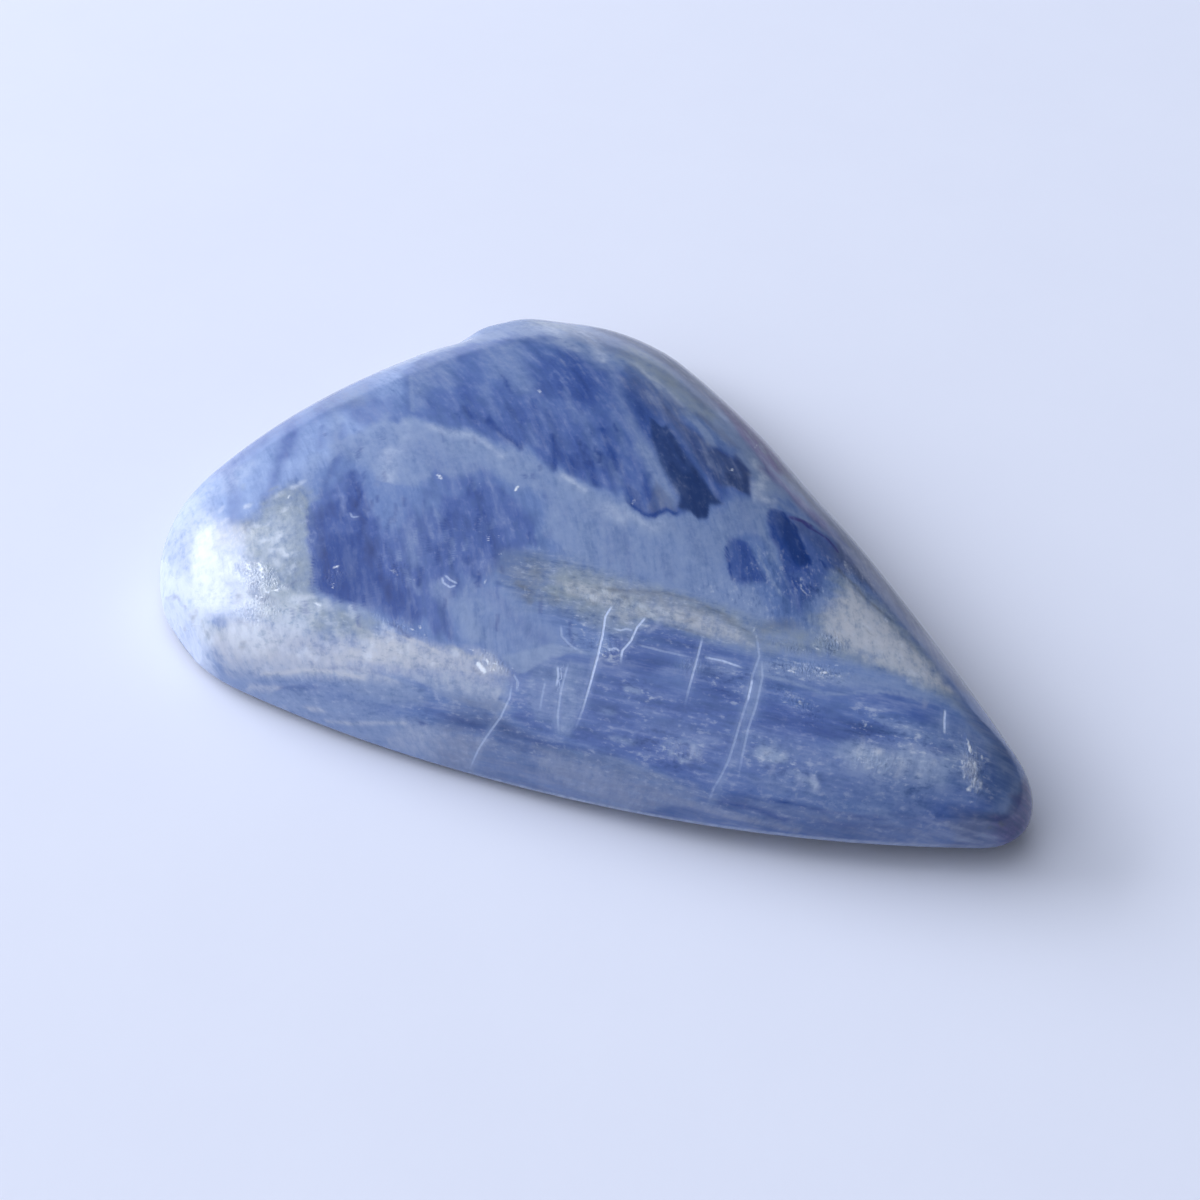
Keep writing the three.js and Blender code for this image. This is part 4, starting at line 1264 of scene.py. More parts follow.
# %% Where the stone is crumbly
patches("mottle", STILL, [
    ([(1, -8.2), (4.2, -7.3), (4.3, -9.8), (1.3, -10.2)], 0.7, 0.9),
    ([(7.2, -7.8), (9.2, -7.4), (9.3, -9), (7.4, -9.2)], 0.7, 0.9),
    ([(4.6, -10), (6.2, -10), (6.2, -10.8), (4.6, -10.8)], 0.6, 0.7),
    ([(7, -11.4), (9.4, -11.3), (9, -12.5), (5.4, -12.8)], 0.7, 0.75),
    ([(9.4, -6.4), (12.6, -5.6), (12.6, -6.3), (9.6, -7.3)], 0.5, 0.9),
    ([(10, -7.6), (12.6, -7.4), (12.4, -8.4), (10, -8.3)], 0.6, 0.75),
    ([(13.4, -6.6), (17.6, -6), (17.8, -8.6), (14.4, -8.9)], 0.9, 0.85),
    ([(10.4, -9.8), (13.6, -9.8), (13.4, -10.7), (10.6, -10.8)], 0.6, 0.8),
    ([(-2.6, -5.8), (8, -5.2), (9, -6.6), (4, -8.6), (-2.6, -8.8)], 1.2, 0.5),
    ([(-15.4, -7), (-13.4, -7), (-10.6, -11.2), (-10, -13.4), (-16.4, -14.4), (-16, -10)], 1.2, 0.4),
    ([(-14, -12.6), (-6, -12), (-0.5, -12), (-4, -13.6), (-12, -14.8)], 0.8, 0.4),
    ([(-6, -5.4), (-3.2, -5.4), (-3.2, -8.8), (-6.4, -8.8)], 1, 0.08),
    ([(0.6, -11.6), (8, -9.6), (14, -8.4), (20, -7.4), (19, -9.6), (10, -13.6), (-2, -16.4), (-12, -17.6),
      (-14, -15.6), (-4, -13.6)], 1.2, 0.34),
    ([(5.6, -1.4), (10, 1.2), (16, -2.4), (15, -4.4), (6.4, -4.6)], 1.2, 0.36),
    ([(8.6, -1.6), (9.8, -1.6), (9.6, -2.7), (8.6, -2.7)], 0.5, 0.9),
    ([(10.8, -4), (12, -4), (12, -5.2), (10.8, -5.2)], 0.5, 1),
    ([(17.4, -5.6), (19.4, -5.6), (20.2, -7), (19, -7.5), (17.8, -7.4)], 0.7, 0.8),
    ([(9.4, 1.2), (11.2, 0.8), (11, 0), (9.6, -0.2)], 0.5, 0.7),
    ([(5, -4.2), (9, -4.2), (9, -5.4), (5, -5.4)], 0.8, 0.5),
])
print("crumbly vertices:", int((pigment["mottle"] > 0.3).sum()))

# %% [markdown]
# ## Healed cracks
# Thin cracks cross the near-side blades, healed and filled with pale mineral. They are finer than
# the vertices are apart, so what the mesh keeps is the signed distance to each crack, which can be
# read between vertices. The material draws the line where that distance passes zero. Cracks that
# run close together go on different channels so that their distances don't mix.

# %% Cracks on three channels
CRACK_REACH = 0.45
NO_CRACK = 9.0
crack_side = np.full((len(SKIN), 3), NO_CRACK)
crack_show = np.zeros((len(SKIN), 3))


def crack(channel, path, strength, start_fade=0.15, end_fade=0.25):
    """A polyline crack that fades in and out at its ends."""
    path = np.array(path, float)
    lengths = np.hypot(*np.diff(path, axis=0).T)
    passed = np.concatenate([[0], lengths.cumsum()]) / lengths.sum()
    nearest = np.full(len(SKIN), NO_CRACK)
    signed = np.full(len(SKIN), NO_CRACK)
    travel = np.zeros(len(SKIN))
    for i in range(len(path) - 1):
        distance, part, side = to_segment(SKIN, path[i], path[i + 1])
        closer = distance < nearest
        nearest[closer] = distance[closer]
        signed[closer] = (distance * side)[closer]
        travel[closer] = (passed[i] + part * (passed[i + 1] - passed[i]))[closer]
    fade = ease(travel / start_fade) * ease((1 - travel) / end_fade)
    mine = (nearest < CRACK_REACH) & (nearest < abs(crack_side[:, channel]))
    crack_side[mine, channel] = signed[mine]
    crack_show[mine, channel] = (strength * fade * ease((CRACK_REACH - nearest) / 0.2))[mine]


crack(0, [(0.2, -12.3), (0.42, -13.1), (0.36, -14), (0.05, -14.9), (-0.3, -15.9), (-0.7, -17.4)], 0.6)
crack(0, [(2.4, -7.3), (2.4, -8), (2.75, -8.9), (3.05, -9.9), (3.35, -11.1), (3.58, -12.2), (3.66, -13),
          (3.5, -13.6)], 1.25, 0.05, 0.5)
crack(1, [(3.95, -7.2), (3.86, -7.9), (3.95, -8.6), (3.84, -9.2), (4.1, -9.8)], 1.2, 0.1, 0.2)
crack(2, [(3.85, -8.1), (3.5, -8.15), (3.3, -8.35), (2.9, -8.4)], 0.8)
crack(2, [(3.8, -9.25), (3.5, -9.2), (3.35, -9.4), (3.1, -9.3)], 0.9)
crack(1, [(0.9, -9.2), (1.2, -9.7), (1.8, -9.95), (2.4, -10)], 0.45)
crack(0, [(6.5, -6.9), (6.75, -7.8), (7, -8.8), (7.2, -9.6), (7.45, -10.4)], 0.75, 0.15, 0.5)
crack(0, [(8.2, -5.5), (8.6, -6), (9.05, -6.7), (9.2, -7.6), (9.5, -8.6), (9.75, -9.8), (10.1, -11.2),
          (10.25, -12.4), (10.7, -13.5)], 0.42)
crack(1, [(9.1, -6.6), (9.6, -7.5), (9.95, -8.7), (10.15, -9.8), (10.5, -10.8), (10.95, -11.8)], 0.4)
crack(2, [(9.25, -7.7), (9.4, -8.2), (9.6, -8.9)], 1.1, 0.2, 0.3)
crack(1, [(1.7, -11), (1.95, -11.4), (2.1, -11.9)], 0.9)
crack(1, [(2.05, -10.6), (2.35, -11.9), (2.7, -12.9), (3.15, -13.7)], 0.5)
crack(2, [(1.55, -11.8), (1.7, -12.4), (1.9, -13.1)], 0.4)
crack(1, [(0.1, -12.1), (0.5, -12.35), (0.6, -12.8)], 0.5)
crack(1, [(16.75, -4.7), (16.95, -5.3), (17.25, -5.95)], 1.1)
crack(2, [(7, -7.85), (7.8, -7.62), (8.8, -7.5)], 1)
crack(2, [(4.2, -8.65), (5.4, -8.4), (6.6, -8.1)], 0.4)
crack(2, [(-4.95, -9), (-4.6, -9.15), (-4.2, -9.2)], 0.8, 0.1, 0.1)
crack(1, [(-5, -9.15), (-4.8, -9.4), (-4.4, -9.5), (-4.2, -9.3)], 0.8, 0.1, 0.1)
crack(2, [(-10.9, -7.3), (-10.6, -7.55), (-10.3, -7.35)], 0.55)
print("cracks over", int((crack_show.max(axis=1) > 0).sum()), "vertices")

# %% [markdown]
# ## Glints
# Where a blade tip or a tiny cleavage reaches the polish it flashes. Each is a speck a quarter of
# a millimetre across or less, so it is only a short path with a strength. Small loops of them ring
# the pits, and crumbly places get a scatter of random ones.

# %% Single glints and scattered ones
GLINTS = [
    ([(-7.7, 4.25), (-7.6, 4.15)], 0.32, 0.55), ([(-8.8, 3.8), (-8.6, 3.6)], 0.16, 0.4),
    ([(2.85, 3.55), (2.9, 3.4)], 0.18, 0.8), ([(2.55, 3.45), (2.8, 3.3)], 0.12, 0.35),
    ([(-4.8, -2.8), (-4.75, -3.1)], 0.18, 0.9), ([(-6.6, -3.0), (-6.45, -3.4)], 0.12, 0.45),
    ([(-8.5, -3.6), (-8.2, -3.8)], 0.28, 0.7), ([(-9.8, -10.4), (-9.65, -10.3)], 0.18, 0.8),
    ([(-9.4, -11.2), (-9.3, -11.4)], 0.18, 0.65), ([(-9.8, -12.25), (-9.45, -12.3)], 0.16, 0.9),
    ([(-8.1, -12.6), (-7.9, -12.6)], 0.12, 0.6), ([(-7.2, -9.6), (-6.9, -9.8)], 0.3, 0.4),
    ([(-4.4, -6.2), (-4.2, -6.5)], 0.12, 0.7), ([(-4.0, -6.0), (-3.9, -6.1)], 0.14, 0.6),
    ([(-3.35, -6.9), (-3.3, -7.0)], 0.18, 0.6), ([(-3.15, -8.5), (-3.15, -8.7)], 0.22, 0.5),
    ([(-1.4, -8.2), (-1.1, -8.6)], 0.2, 0.35), ([(1.4, -3.1), (1.2, -2.8)], 0.1, 0.4),
    ([(0.25, -1.2), (0.3, -1.6)], 0.2, 0.5), ([(-3.4, -1.1), (-3.3, -1.1)], 0.1, 0.5),
    ([(2.6, -1.6), (2.7, -1.6)], 0.12, 0.5), ([(-1.5, -5.2), (-1.3, -5.3)], 0.12, 0.3),
    ([(-1.5, -12.3), (-1.1, -12.5)], 0.28, 1.0), ([(-1.6, -11.6), (-1.2, -11.75)], 0.12, 0.6),
    ([(-4.7, -11.7), (-4.6, -11.8)], 0.16, 0.7), ([(0.45, -12.4), (0.65, -12.7)], 0.14, 0.6),
    ([(14.2, -7.3), (14.3, -7.3)], 0.16, 0.85), ([(13.6, -6.95), (13.7, -6.95)], 0.12, 0.7),
    ([(12.8, -1.5), (12.6, -1.3)], 0.22, 0.6), ([(8.2, -5.5), (8.5, -5.9)], 0.14, 0.6),
    ([(5.0, -2.0), (5.1, -2.2)], 0.14, 0.35), ([(2.6, 7.3), (2.7, 6.6)], 0.14, 0.55),
    ([(10.7, 0.9), (10.8, 0.5)], 0.2, 0.4), ([(14.2, -1.8), (14.4, -1.9)], 0.14, 0.4),
    ([(7.6, -4.5), (8.2, -4.8)], 0.14, 0.4), ([(6.0, -6.2), (6.2, -6.5)], 0.12, 0.5),
    ([(-13.4, -11.2), (-13.1, -11.5)], 0.2, 1.0), ([(-13.0, -11.6), (-12.8, -11.9)], 0.14, 0.9),
    ([(-14.2, -11.3), (-13.8, -11.5)], 0.14, 0.8), ([(-12.4, -11.2), (-12.2, -11.6)], 0.14, 0.6),
    ([(-12.2, -12.4), (-11.8, -12.2)], 0.16, 0.6), ([(-14.4, -7.1), (-14.3, -7.3)], 0.24, 0.6),
]
for path, width, strength in GLINTS:
    lay("glint", 0.85 * strength * streak(SKIN, path, 0.7 * width, 0.16))

CRUMBS = [
    # middle, spread along and across, angle, how many, strength
    ((-13.0, -11.8), 1.1, 0.4, -10, 34, 0.8), ((-12.2, -13.3), 0.9, 0.5, 10, 16, 0.5),
    ((18.9, -6.4), 0.8, 0.3, -52, 44, 0.9), ((11.3, -4.5), 0.5, 0.4, 20, 20, 0.7),
    ((11.2, -6.2), 1.1, 0.2, 22, 26, 0.75), ((10.0, -5.6), 0.6, 0.15, 10, 12, 0.55),
    ((9.1, -2.3), 0.4, 0.4, 0, 18, 0.45), ((6.8, -8.4), 0.6, 0.3, 30, 16, 0.4),
    ((11.4, -7.8), 0.7, 0.15, -10, 14, 0.5), ((15.4, -8.3), 0.9, 0.25, 24, 18, 0.4),
    ((-5.6, -12.0), 1.2, 0.2, -4, 14, 0.6), ((-0.8, -12.0), 0.7, 0.25, -10, 16, 0.7),
    ((-7.0, -9.6), 0.7, 0.35, -40, 14, 0.4), ((-9.5, -10.8), 0.4, 0.5, -60, 10, 0.45),
    ((3.2, -9.3), 0.5, 0.3, 0, 14, 0.5), ((15.6, -3.0), 0.7, 0.3, -50, 12, 0.35),
    ((1.8, -7.2), 1.2, 0.3, 8, 12, 0.35), ((8.0, -11.9), 0.7, 0.25, 10, 14, 0.4),
]
chance = np.random.default_rng(7)
for *scatter, strength in CRUMBS:
    for line in strewn(chance, scatter, 20, (0.05, 0.4)):
        lay("glint", strength * chance.uniform(0.4, 1) * streak(SKIN, line, 0.05, 0.14))
    middle, along, across, angle, _ = scatter
    far_along, far_across = 1.6 * along * way_at(angle)[0], 1.6 * across * way_at(angle)[1]
    diamond = [tuple(middle + step) for step in (far_along, far_across, -far_along, -far_across)]
    lay("rough", strength * patch(SKIN, diamond, 0.6))
print("glints over", int((pigment["glint"] > 0.2).sum()), "vertices")

# %% [markdown]
# ## The mesh
# Now the vertices become one closed surface: triangles between the rings, the rolled edge, and a
# flat back. The polished dome and the lapped back get different materials.

# %% Triangles between the rings
def disc_faces():
    """Triangles of the dome, ring by ring, six sectors each."""
    faces = []
    for k in range(1, RINGS + 1):
        inner = 1 + 3 * (k - 1) * (k - 2) if k > 1 else 0
        outer = 1 + 3 * k * (k - 1)
        inner_count, outer_count = max(6 * (k - 1), 1), 6 * k
        sector, step = np.divmod(np.arange(outer_count), k)
        a = outer + np.arange(outer_count)
        b = outer + (np.arange(outer_count) + 1) % outer_count
        c = inner + (sector * (k - 1) + step) % inner_count
        faces.append(np.column_stack([a, b, c]))
        second = step < k - 1
        d = inner + (sector * (k - 1) + step + 1) % inner_count
        faces.append(np.column_stack([b, d, c])[second])
    return np.concatenate(faces)


def edge_faces():
    """Triangles of the rolled edge and the bevel, then of the back."""
    upper = DOME_COUNT - RING_SIZE
    here = np.arange(RING_SIZE)
    after = (here + 1) % RING_SIZE
    edge = []
    for _ in EDGE_STOPS:
        lower = upper + RING_SIZE
        edge.append(np.column_stack([upper + here, lower + here, lower + after]))
        edge.append(np.column_stack([upper + here, lower + after, upper + after]))
        upper = lower
    back = np.column_stack([upper + after, upper + here, np.full(RING_SIZE, len(PLACE) - 1)])
    return np.concatenate(edge), back


EDGE_FACES, BACK_FACES = edge_faces()
FACES = np.concatenate([disc_faces(), EDGE_FACES, BACK_FACES])
on_back = np.arange(len(FACES)) >= len(FACES) - len(BACK_FACES)
SHARP_FROM = math.radians(50)
mesh = bpy.data.meshes.new("polished_stone")
mesh.from_pydata(PLACE * MM, [], FACES.tolist())
mesh.polygons.foreach_set("use_smooth", np.ones(len(FACES), bool))
mesh.polygons.foreach_set("material_index", on_back.astype(int))
mesh.set_sharp_from_angle(angle=SHARP_FROM)
stone = bpy.data.objects.new("polished_stone", mesh)
bpy.context.scene.collection.objects.link(stone)
print("triangles:", len(FACES), "closed:", mesh.validate() is False)

# %% [markdown]
# ## Markings as fields
# A mesh can carry named numbers at its vertices, and a material can read them by name. The
# pigments travel that way, together with each vertex's place along and across the two grains, the
# distances to the cracks, and a field that says on which side of the khaki seam a vertex lies,
# since that is where one grain gives way to the other.

# %% Markings go onto the mesh
def keep(name, values):
    mesh.attributes.new(name, "FLOAT", "POINT").data.foreach_set("value", values.astype(np.float32))


def keep_vector(name, columns):
    field = mesh.attributes.new(name, "FLOAT_VECTOR", "POINT")
    field.data.foreach_set("vector", np.column_stack(columns).astype(np.float32).ravel())


for name, values in pigment.items():
    keep(name, values)
keep_vector("long_grain", [*grain_frame(LONG_GRAIN), np.zeros(len(SKIN))])
keep_vector("edge_grain", [*grain_frame(EDGE_GRAIN), np.zeros(len(SKIN))])
keep_vector("crack_side", crack_side.T)
keep_vector("crack_show", crack_show.T)
EDGE_COUNTRY = [(-24, -12.6), (-6, -12.3), (0.3, -12.2), (1.0, -9.6), (-2.8, -8.6), (-2.6, -6.2), (4, -5.2),
                (10, -4.8), (17, -3.6), (26, -2), (26, -22), (-24, -22)]
keep("near_side", patch(SKIN, EDGE_COUNTRY, 1.2))
print("fields:", len(mesh.attributes))

# %% [markdown]
# ## The stone's material
# A material is a net of small nodes. It could be wired by hand in the shader editor, but typed out
# it can be read like a recipe. The recipe mixes the pigments one over another, lets noise that is
# drawn out along the grain fray them and lighten and darken the whole, and puts the cracks and
# glints on top. It needs only a few kinds of node, and each gets a short name here.

# %% Small helpers for nodes
def colour(red, green, blue):
    """A colour typed as it looks on a screen, turned into the light that a shader works in."""
    return [((c / 255 + 0.055) / 1.055) ** 2.4 if c > 10 else c / 3295 for c in (red, green, blue)] + [1]


class Nodes:
    """A node tree with short names for the few nodes that this stone needs."""

    def __init__(self, name):
        self.material = bpy.data.materials.new(name)
        self.material.use_nodes = True
        self.tree = self.material.node_tree
        self.shader = self.tree.nodes["Principled BSDF"]

    def put(self, socket, value):
        if isinstance(value, bpy.types.NodeSocket):
            self.tree.links.new(value, socket)
        else:
            socket.default_value = value

    def field(self, name, output="Fac"):
        node = self.tree.nodes.new("ShaderNodeAttribute")
        node.attribute_name = name
        return node.outputs[output]

    def math(self, operation, first, second=0.0, third=0.0):
        node = self.tree.nodes.new("ShaderNodeMath")
        node.operation = operation
        for socket, value in zip(node.inputs, (first, second, third)):
            self.put(socket, value)
        return node.outputs[0]

    def plus(self, first, second):
        return self.math("ADD", first, second)

    def minus(self, first, second):
        return self.math("SUBTRACT", first, second)

    def times(self, first, second):
        return self.math("MULTIPLY", first, second)

    def scaled(self, value, factor, offset):
        """The value times the factor, plus the offset."""
        return self.math("MULTIPLY_ADD", value, factor, offset)

    def between(self, value, low, high, first=0.0, last=1.0):
        """Eases from first to last while value goes from low to high."""
        node = self.tree.nodes.new("ShaderNodeMapRange")
        node.interpolation_type = "SMOOTHSTEP"
        for socket, wanted in zip(node.inputs, (value, low, high, first, last)):
            self.put(socket, wanted)
        return node.outputs[0]

    def mix(self, amount, first, second, way="MIX"):
        node = self.tree.nodes.new("ShaderNodeMix")
        node.data_type = "RGBA"
        node.blend_type = way
        self.put(node.inputs[0], amount)
        self.put(node.inputs[6], first)
        self.put(node.inputs[7], second)
        return node.outputs[2]

    def blend(self, amount, first, second):
        node = self.tree.nodes.new("ShaderNodeMix")
        for socket, value in zip((node.inputs[0], node.inputs[2], node.inputs[3]), (amount, first, second)):
            self.put(socket, value)
        return node.outputs[0]

    def noise(self, place, stretch, detail, roughness, offset=0.0, turn=0.0):
        """Noise read at a place that is first divided by a stretch along each axis."""
        mapping = self.tree.nodes.new("ShaderNodeMapping")
        self.put(mapping.inputs["Vector"], place)
        mapping.inputs["Location"].default_value = (offset, offset * 0.37, 0)
        mapping.inputs["Rotation"].default_value = (0, 0, turn)
        mapping.inputs["Scale"].default_value = [1 / s for s in stretch]
        node = self.tree.nodes.new("ShaderNodeTexNoise")
        self.put(node.inputs["Vector"], mapping.outputs[0])
        node.inputs["Scale"].default_value = 1
        node.inputs["Detail"].default_value = detail
        node.inputs["Roughness"].default_value = roughness
        return node.outputs["Fac"]

    def split(self, vector):
        node = self.tree.nodes.new("ShaderNodeSeparateXYZ")
        self.put(node.inputs[0], vector)
        return list(node.outputs)

    def bump(self, height, strength, distance, below=None):
        node = self.tree.nodes.new("ShaderNodeBump")
        node.inputs["Strength"].default_value = strength
        node.inputs["Distance"].default_value = distance
        self.put(node.inputs["Height"], height)
        if below is not None:
            self.put(node.inputs["Normal"], below)
        return node.outputs[0]


print("node helpers ready")

# %% [markdown]
# ## Fibres
# Noise whose cells are long along the grain and narrow across it looks like fibre. One size isn't
# enough: broad bands, threads, clouds, crumbs and specks are each a noise of their own, measured in
# millimetres. Every one is made for both grains, and the side of the seam chooses between them.

# %% Fibres of the stone, coarse and fine
kyanite = Nodes("polished_kyanite")
long_place = kyanite.field("long_grain", "Vector")
edge_place = kyanite.field("edge_grain", "Vector")
near_side = kyanite.field("near_side")


def fibres(along, across, detail, offset):
    """Noise drawn out along whichever family of fibres runs here."""
    long_noise = kyanite.noise(long_place, (along, across, 1), detail, 0.6, offset)
    edge_noise = kyanite.noise(edge_place, (along, across, 1), detail, 0.6, offset + 5)
    return kyanite.blend(near_side, long_noise, edge_noise)


broad = fibres(5.0, 1.0, 2, 0)
middling = fibres(2.6, 0.34, 2, 17)
fine = fibres(1.1, 0.14, 2, 41)
cloud = fibres(1.6, 0.8, 3, 63)
blotch = kyanite.noise(long_place, (0.62, 0.44, 1), 4, 0.65, 57)
crumble = fibres(0.5, 0.26, 3, 71)
speckle = fibres(0.3, 0.16, 3, 93)
grit = kyanite.noise(long_place, (0.16, 0.12, 1), 2, 0.6, 87)
ragged = kyanite.plus(kyanite.times(middling, 0.45), kyanite.times(fine, 0.2))
ragged = kyanite.plus(ragged, kyanite.times(crumble, 0.35))
print("fibre noises:", len([n for n in kyanite.tree.nodes if n.type == "TEX_NOISE"]))

# %% [markdown]
# ## Pigments
# Where a pigment is laid at half strength the real stone shows threads of it, not an even tint. So
# each field is pushed up and down by noise, most where it is half strong and not at all where it
# is full or absent. The bladed pigments fray along the grain. The cloudy ones fray in round
# blotches.

# %% Pigments mixed one over another
BODY_BLUE = colour(96, 122, 178)
PIGMENT_COLOURS = [
    # name, colour, how much it frays
    ("sky", colour(146, 168, 214), 0.8),
    ("deep", colour(58, 85, 157), 1.2),
    ("milk", colour(132, 151, 189), 0.7),
    ("khaki", colour(138, 150, 162), 0.55),
    ("cream", colour(188, 192, 206), 0.6),
    ("pearl", colour(208, 217, 236), 0.4),
    ("slate", colour(86, 99, 138), 1.1),
    ("violet", colour(84, 66, 134), 0.6),
    ("ink", colour(10, 58, 136), 1.2),
    ("navy", colour(24, 52, 106), 0.2),
    ("moss", colour(92, 100, 116), 1.0),
]
WISPS = {"milk": kyanite.blend(0.45, ragged, blotch), "khaki": blotch, "cream": blotch, "pearl": blotch}
hue = BODY_BLUE
for name, tint, fray in PIGMENT_COLOURS:
    shift = kyanite.scaled(WISPS.get(name, ragged), 2 * fray, -fray)
    field = kyanite.field(name)
    half_strong = kyanite.times(kyanite.times(field, 4.0), kyanite.minus(1.0, field))
    hue = kyanite.mix(kyanite.scaled(shift, half_strong, field), hue, tint)
print("pigments mixed:", len(PIGMENT_COLOURS))

# %% [markdown]
# ## Light and dark
# The same noises, weighed and added, make one tone that runs above and below zero. It lightens the
# stone where it is positive and darkens it where it is negative. Kyanite's dark bundles show strong
# streaks and its pale parts soft blotches, so the tone is scaled by how light the pigments are.

# %% One tone from all the noises
TONE_WEIGHTS = [(broad, 1.2), (middling, 1.0), (cloud, 0.8), (crumble, 0.5), (fine, 0.25), (grit, 0.1)]
NEAR_EXTRA = 0.35
BLOTCH_WEIGHT = 0.7
tone = 0.0
for grain_noise, weight in TONE_WEIGHTS:
    tone = kyanite.plus(tone, kyanite.scaled(grain_noise, weight, -weight / 2))
to_grey = kyanite.tree.nodes.new("ShaderNodeRGBToBW")
kyanite.put(to_grey.inputs[0], hue)
lightness = to_grey.outputs[0]
contrast = kyanite.between(lightness, 0.06, 0.33, 1.3, 0.2)
paleness = kyanite.between(lightness, 0.18, 0.34, 0.2, 1.0)
contrast = kyanite.math("MINIMUM", contrast, kyanite.between(lightness, 0.02, 0.08, 0.5, 1.4))
for thread in (fine, middling):
    tone = kyanite.scaled(kyanite.minus(thread, 0.5), kyanite.times(near_side, NEAR_EXTRA), tone)
tone = kyanite.times(tone, contrast)
tone = kyanite.scaled(kyanite.minus(blotch, 0.5), kyanite.times(paleness, BLOTCH_WEIGHT), tone)
print("tone made of", len(TONE_WEIGHTS), "noises")

# %% [markdown]
# ## Shade, shine and crumble
# The tone darkens by multiplying with a blue, which keeps the shade saturated, and lightens by
# mixing towards a pale blue. Where the stone is crumbly, the finest noises are cut at two heights:
# what is above one height becomes pale flecks, and what is below the other becomes dark pits.

# %% The tone and the crumble go onto the colour
SHADE_FILTER = (0.2, 0.38, 0.56, 1)
SHINE_BLUE = colour(168, 184, 218)
FLECK_WHITE = colour(176, 187, 212)
PIT_FILTER = (0.42, 0.52, 0.66, 1)


def filtered(filter_colour):
    """The colour so far, seen through a coloured filter."""
    return kyanite.mix(1.0, hue, filter_colour, "MULTIPLY")


shade = kyanite.math("MAXIMUM", kyanite.times(tone, -1.4), 0.0)
shine = kyanite.math("MAXIMUM", kyanite.times(tone, 0.6), 0.0)
shine = kyanite.times(shine, kyanite.between(lightness, 0.03, 0.1, 0.3, 1.0))
hue = kyanite.mix(shade, hue, filtered(SHADE_FILTER))
hue = kyanite.mix(shine, hue, SHINE_BLUE)
bits = kyanite.plus(kyanite.times(crumble, 0.5), kyanite.times(speckle, 0.5))
crumbly = kyanite.scaled(kyanite.field("mottle"), 0.92, 0.08)
bits = kyanite.scaled(kyanite.minus(cloud, 0.5), 0.3, bits)
flecks = kyanite.between(bits, 0.52, 0.68, 0.0, 0.8)
pits = kyanite.between(bits, 0.49, 0.36, 0.0, 0.8)
hue = kyanite.mix(kyanite.times(flecks, crumbly), hue, FLECK_WHITE)
hue = kyanite.mix(kyanite.times(pits, crumbly), hue, filtered(PIT_FILTER))
print("tone and crumble mixed in")

# %% [markdown]
# ## Cracks and glints in the colour
# Each crack is drawn where the distance to it passes zero: a bright thread, and a faint veil beside
# it, since the healed crack slants down into the stone. Grit breaks the thread up so that it isn't
# an even line. Glints are the brightest bits and go on last.

# %% Cracks and glints on top
THREAD_REACH = (0.02, 0.085)
VEIL_REACH = 0.34
CRACK_FILL = colour(190, 206, 242)
GLINT_WHITE = colour(226, 234, 250)
sides = kyanite.split(kyanite.field("crack_side", "Vector"))
shows = kyanite.split(kyanite.field("crack_show", "Vector"))
broken = kyanite.scaled(grit, 0.9, 0.4)
crack_line = 0.0
for side, show in zip(sides, shows):
    distance = kyanite.math("ABSOLUTE", side)
    thread = kyanite.between(distance, *THREAD_REACH, 1.0, 0.0)
    veil = kyanite.between(distance, 0.0, VEIL_REACH, 0.22, 0.0)
    drawn = kyanite.times(kyanite.math("MAXIMUM", thread, veil), show)
    crack_line = kyanite.math("MAXIMUM", crack_line, drawn)
crack_line = kyanite.times(crack_line, broken)
hue = kyanite.mix(kyanite.times(crack_line, 0.84), hue, CRACK_FILL)
sparkle = kyanite.plus(kyanite.field("glint"), kyanite.scaled(grit, 0.6, -0.3))
sparkle = kyanite.between(sparkle, 0.18, 0.8)
hue = kyanite.mix(sparkle, hue, GLINT_WHITE)
print("cracks and glints mixed")

# %% [markdown]
# ## The polish
# Polished kyanite is glossy but never a mirror: the blades differ in hardness, so the polish waves
# a little along them, and pale crumbly stone takes a duller polish. A little light also enters and
# comes out again nearby, which a trace of subsurface scattering gives. The height of the waves is
# a few hundredths of a millimetre, so a bump is enough, and no vertex needs to move.

# %% Gloss, faint waviness and worn places
REFRACTION = 1.6
GLOSS, GLOSS_LOST = 0.36, 0.32
shader = kyanite.shader
kyanite.put(shader.inputs["Base Color"], hue)
shader.inputs["IOR"].default_value = REFRACTION
shader.inputs["Subsurface Weight"].default_value = 0.12
shader.inputs["Subsurface Radius"].default_value = (0.5, 0.7, 1.0)
shader.inputs["Subsurface Scale"].default_value = 0.6 * MM
gloss = kyanite.scaled(kyanite.field("dull"), -GLOSS_LOST, GLOSS)
kyanite.put(shader.inputs["Specular IOR Level"], gloss)
worn = kyanite.scaled(kyanite.field("rough"), 0.1, 0.12)
worn = kyanite.plus(worn, kyanite.scaled(broad, 0.12, -0.05))
worn = kyanite.scaled(kyanite.field("pearl"), 0.2, worn)
kyanite.put(shader.inputs["Roughness"], worn)
bruise = kyanite.times(kyanite.field("rough"), grit)
polish = kyanite.bump(middling, 0.12, 0.04 * MM)
polish = kyanite.bump(grit, 0.1, 0.02 * MM, polish)
proud_bits = kyanite.minus(kyanite.times(sparkle, 0.6), crack_line)
polish = kyanite.bump(proud_bits, 0.35, 0.03 * MM, polish)
polish = kyanite.bump(bruise, 0.8, 0.08 * MM, polish)
kyanite.put(shader.inputs["Normal"], polish)
mesh.materials.append(kyanite.material)
print("nodes in the polished kyanite:", len(kyanite.tree.nodes))

# %% [markdown]
# ## The lapped back
# The flat back was only ground, not polished. It is the same blue stone, paler and dull, with the
# straight streaks of its blades and the faint scratches of the lap.

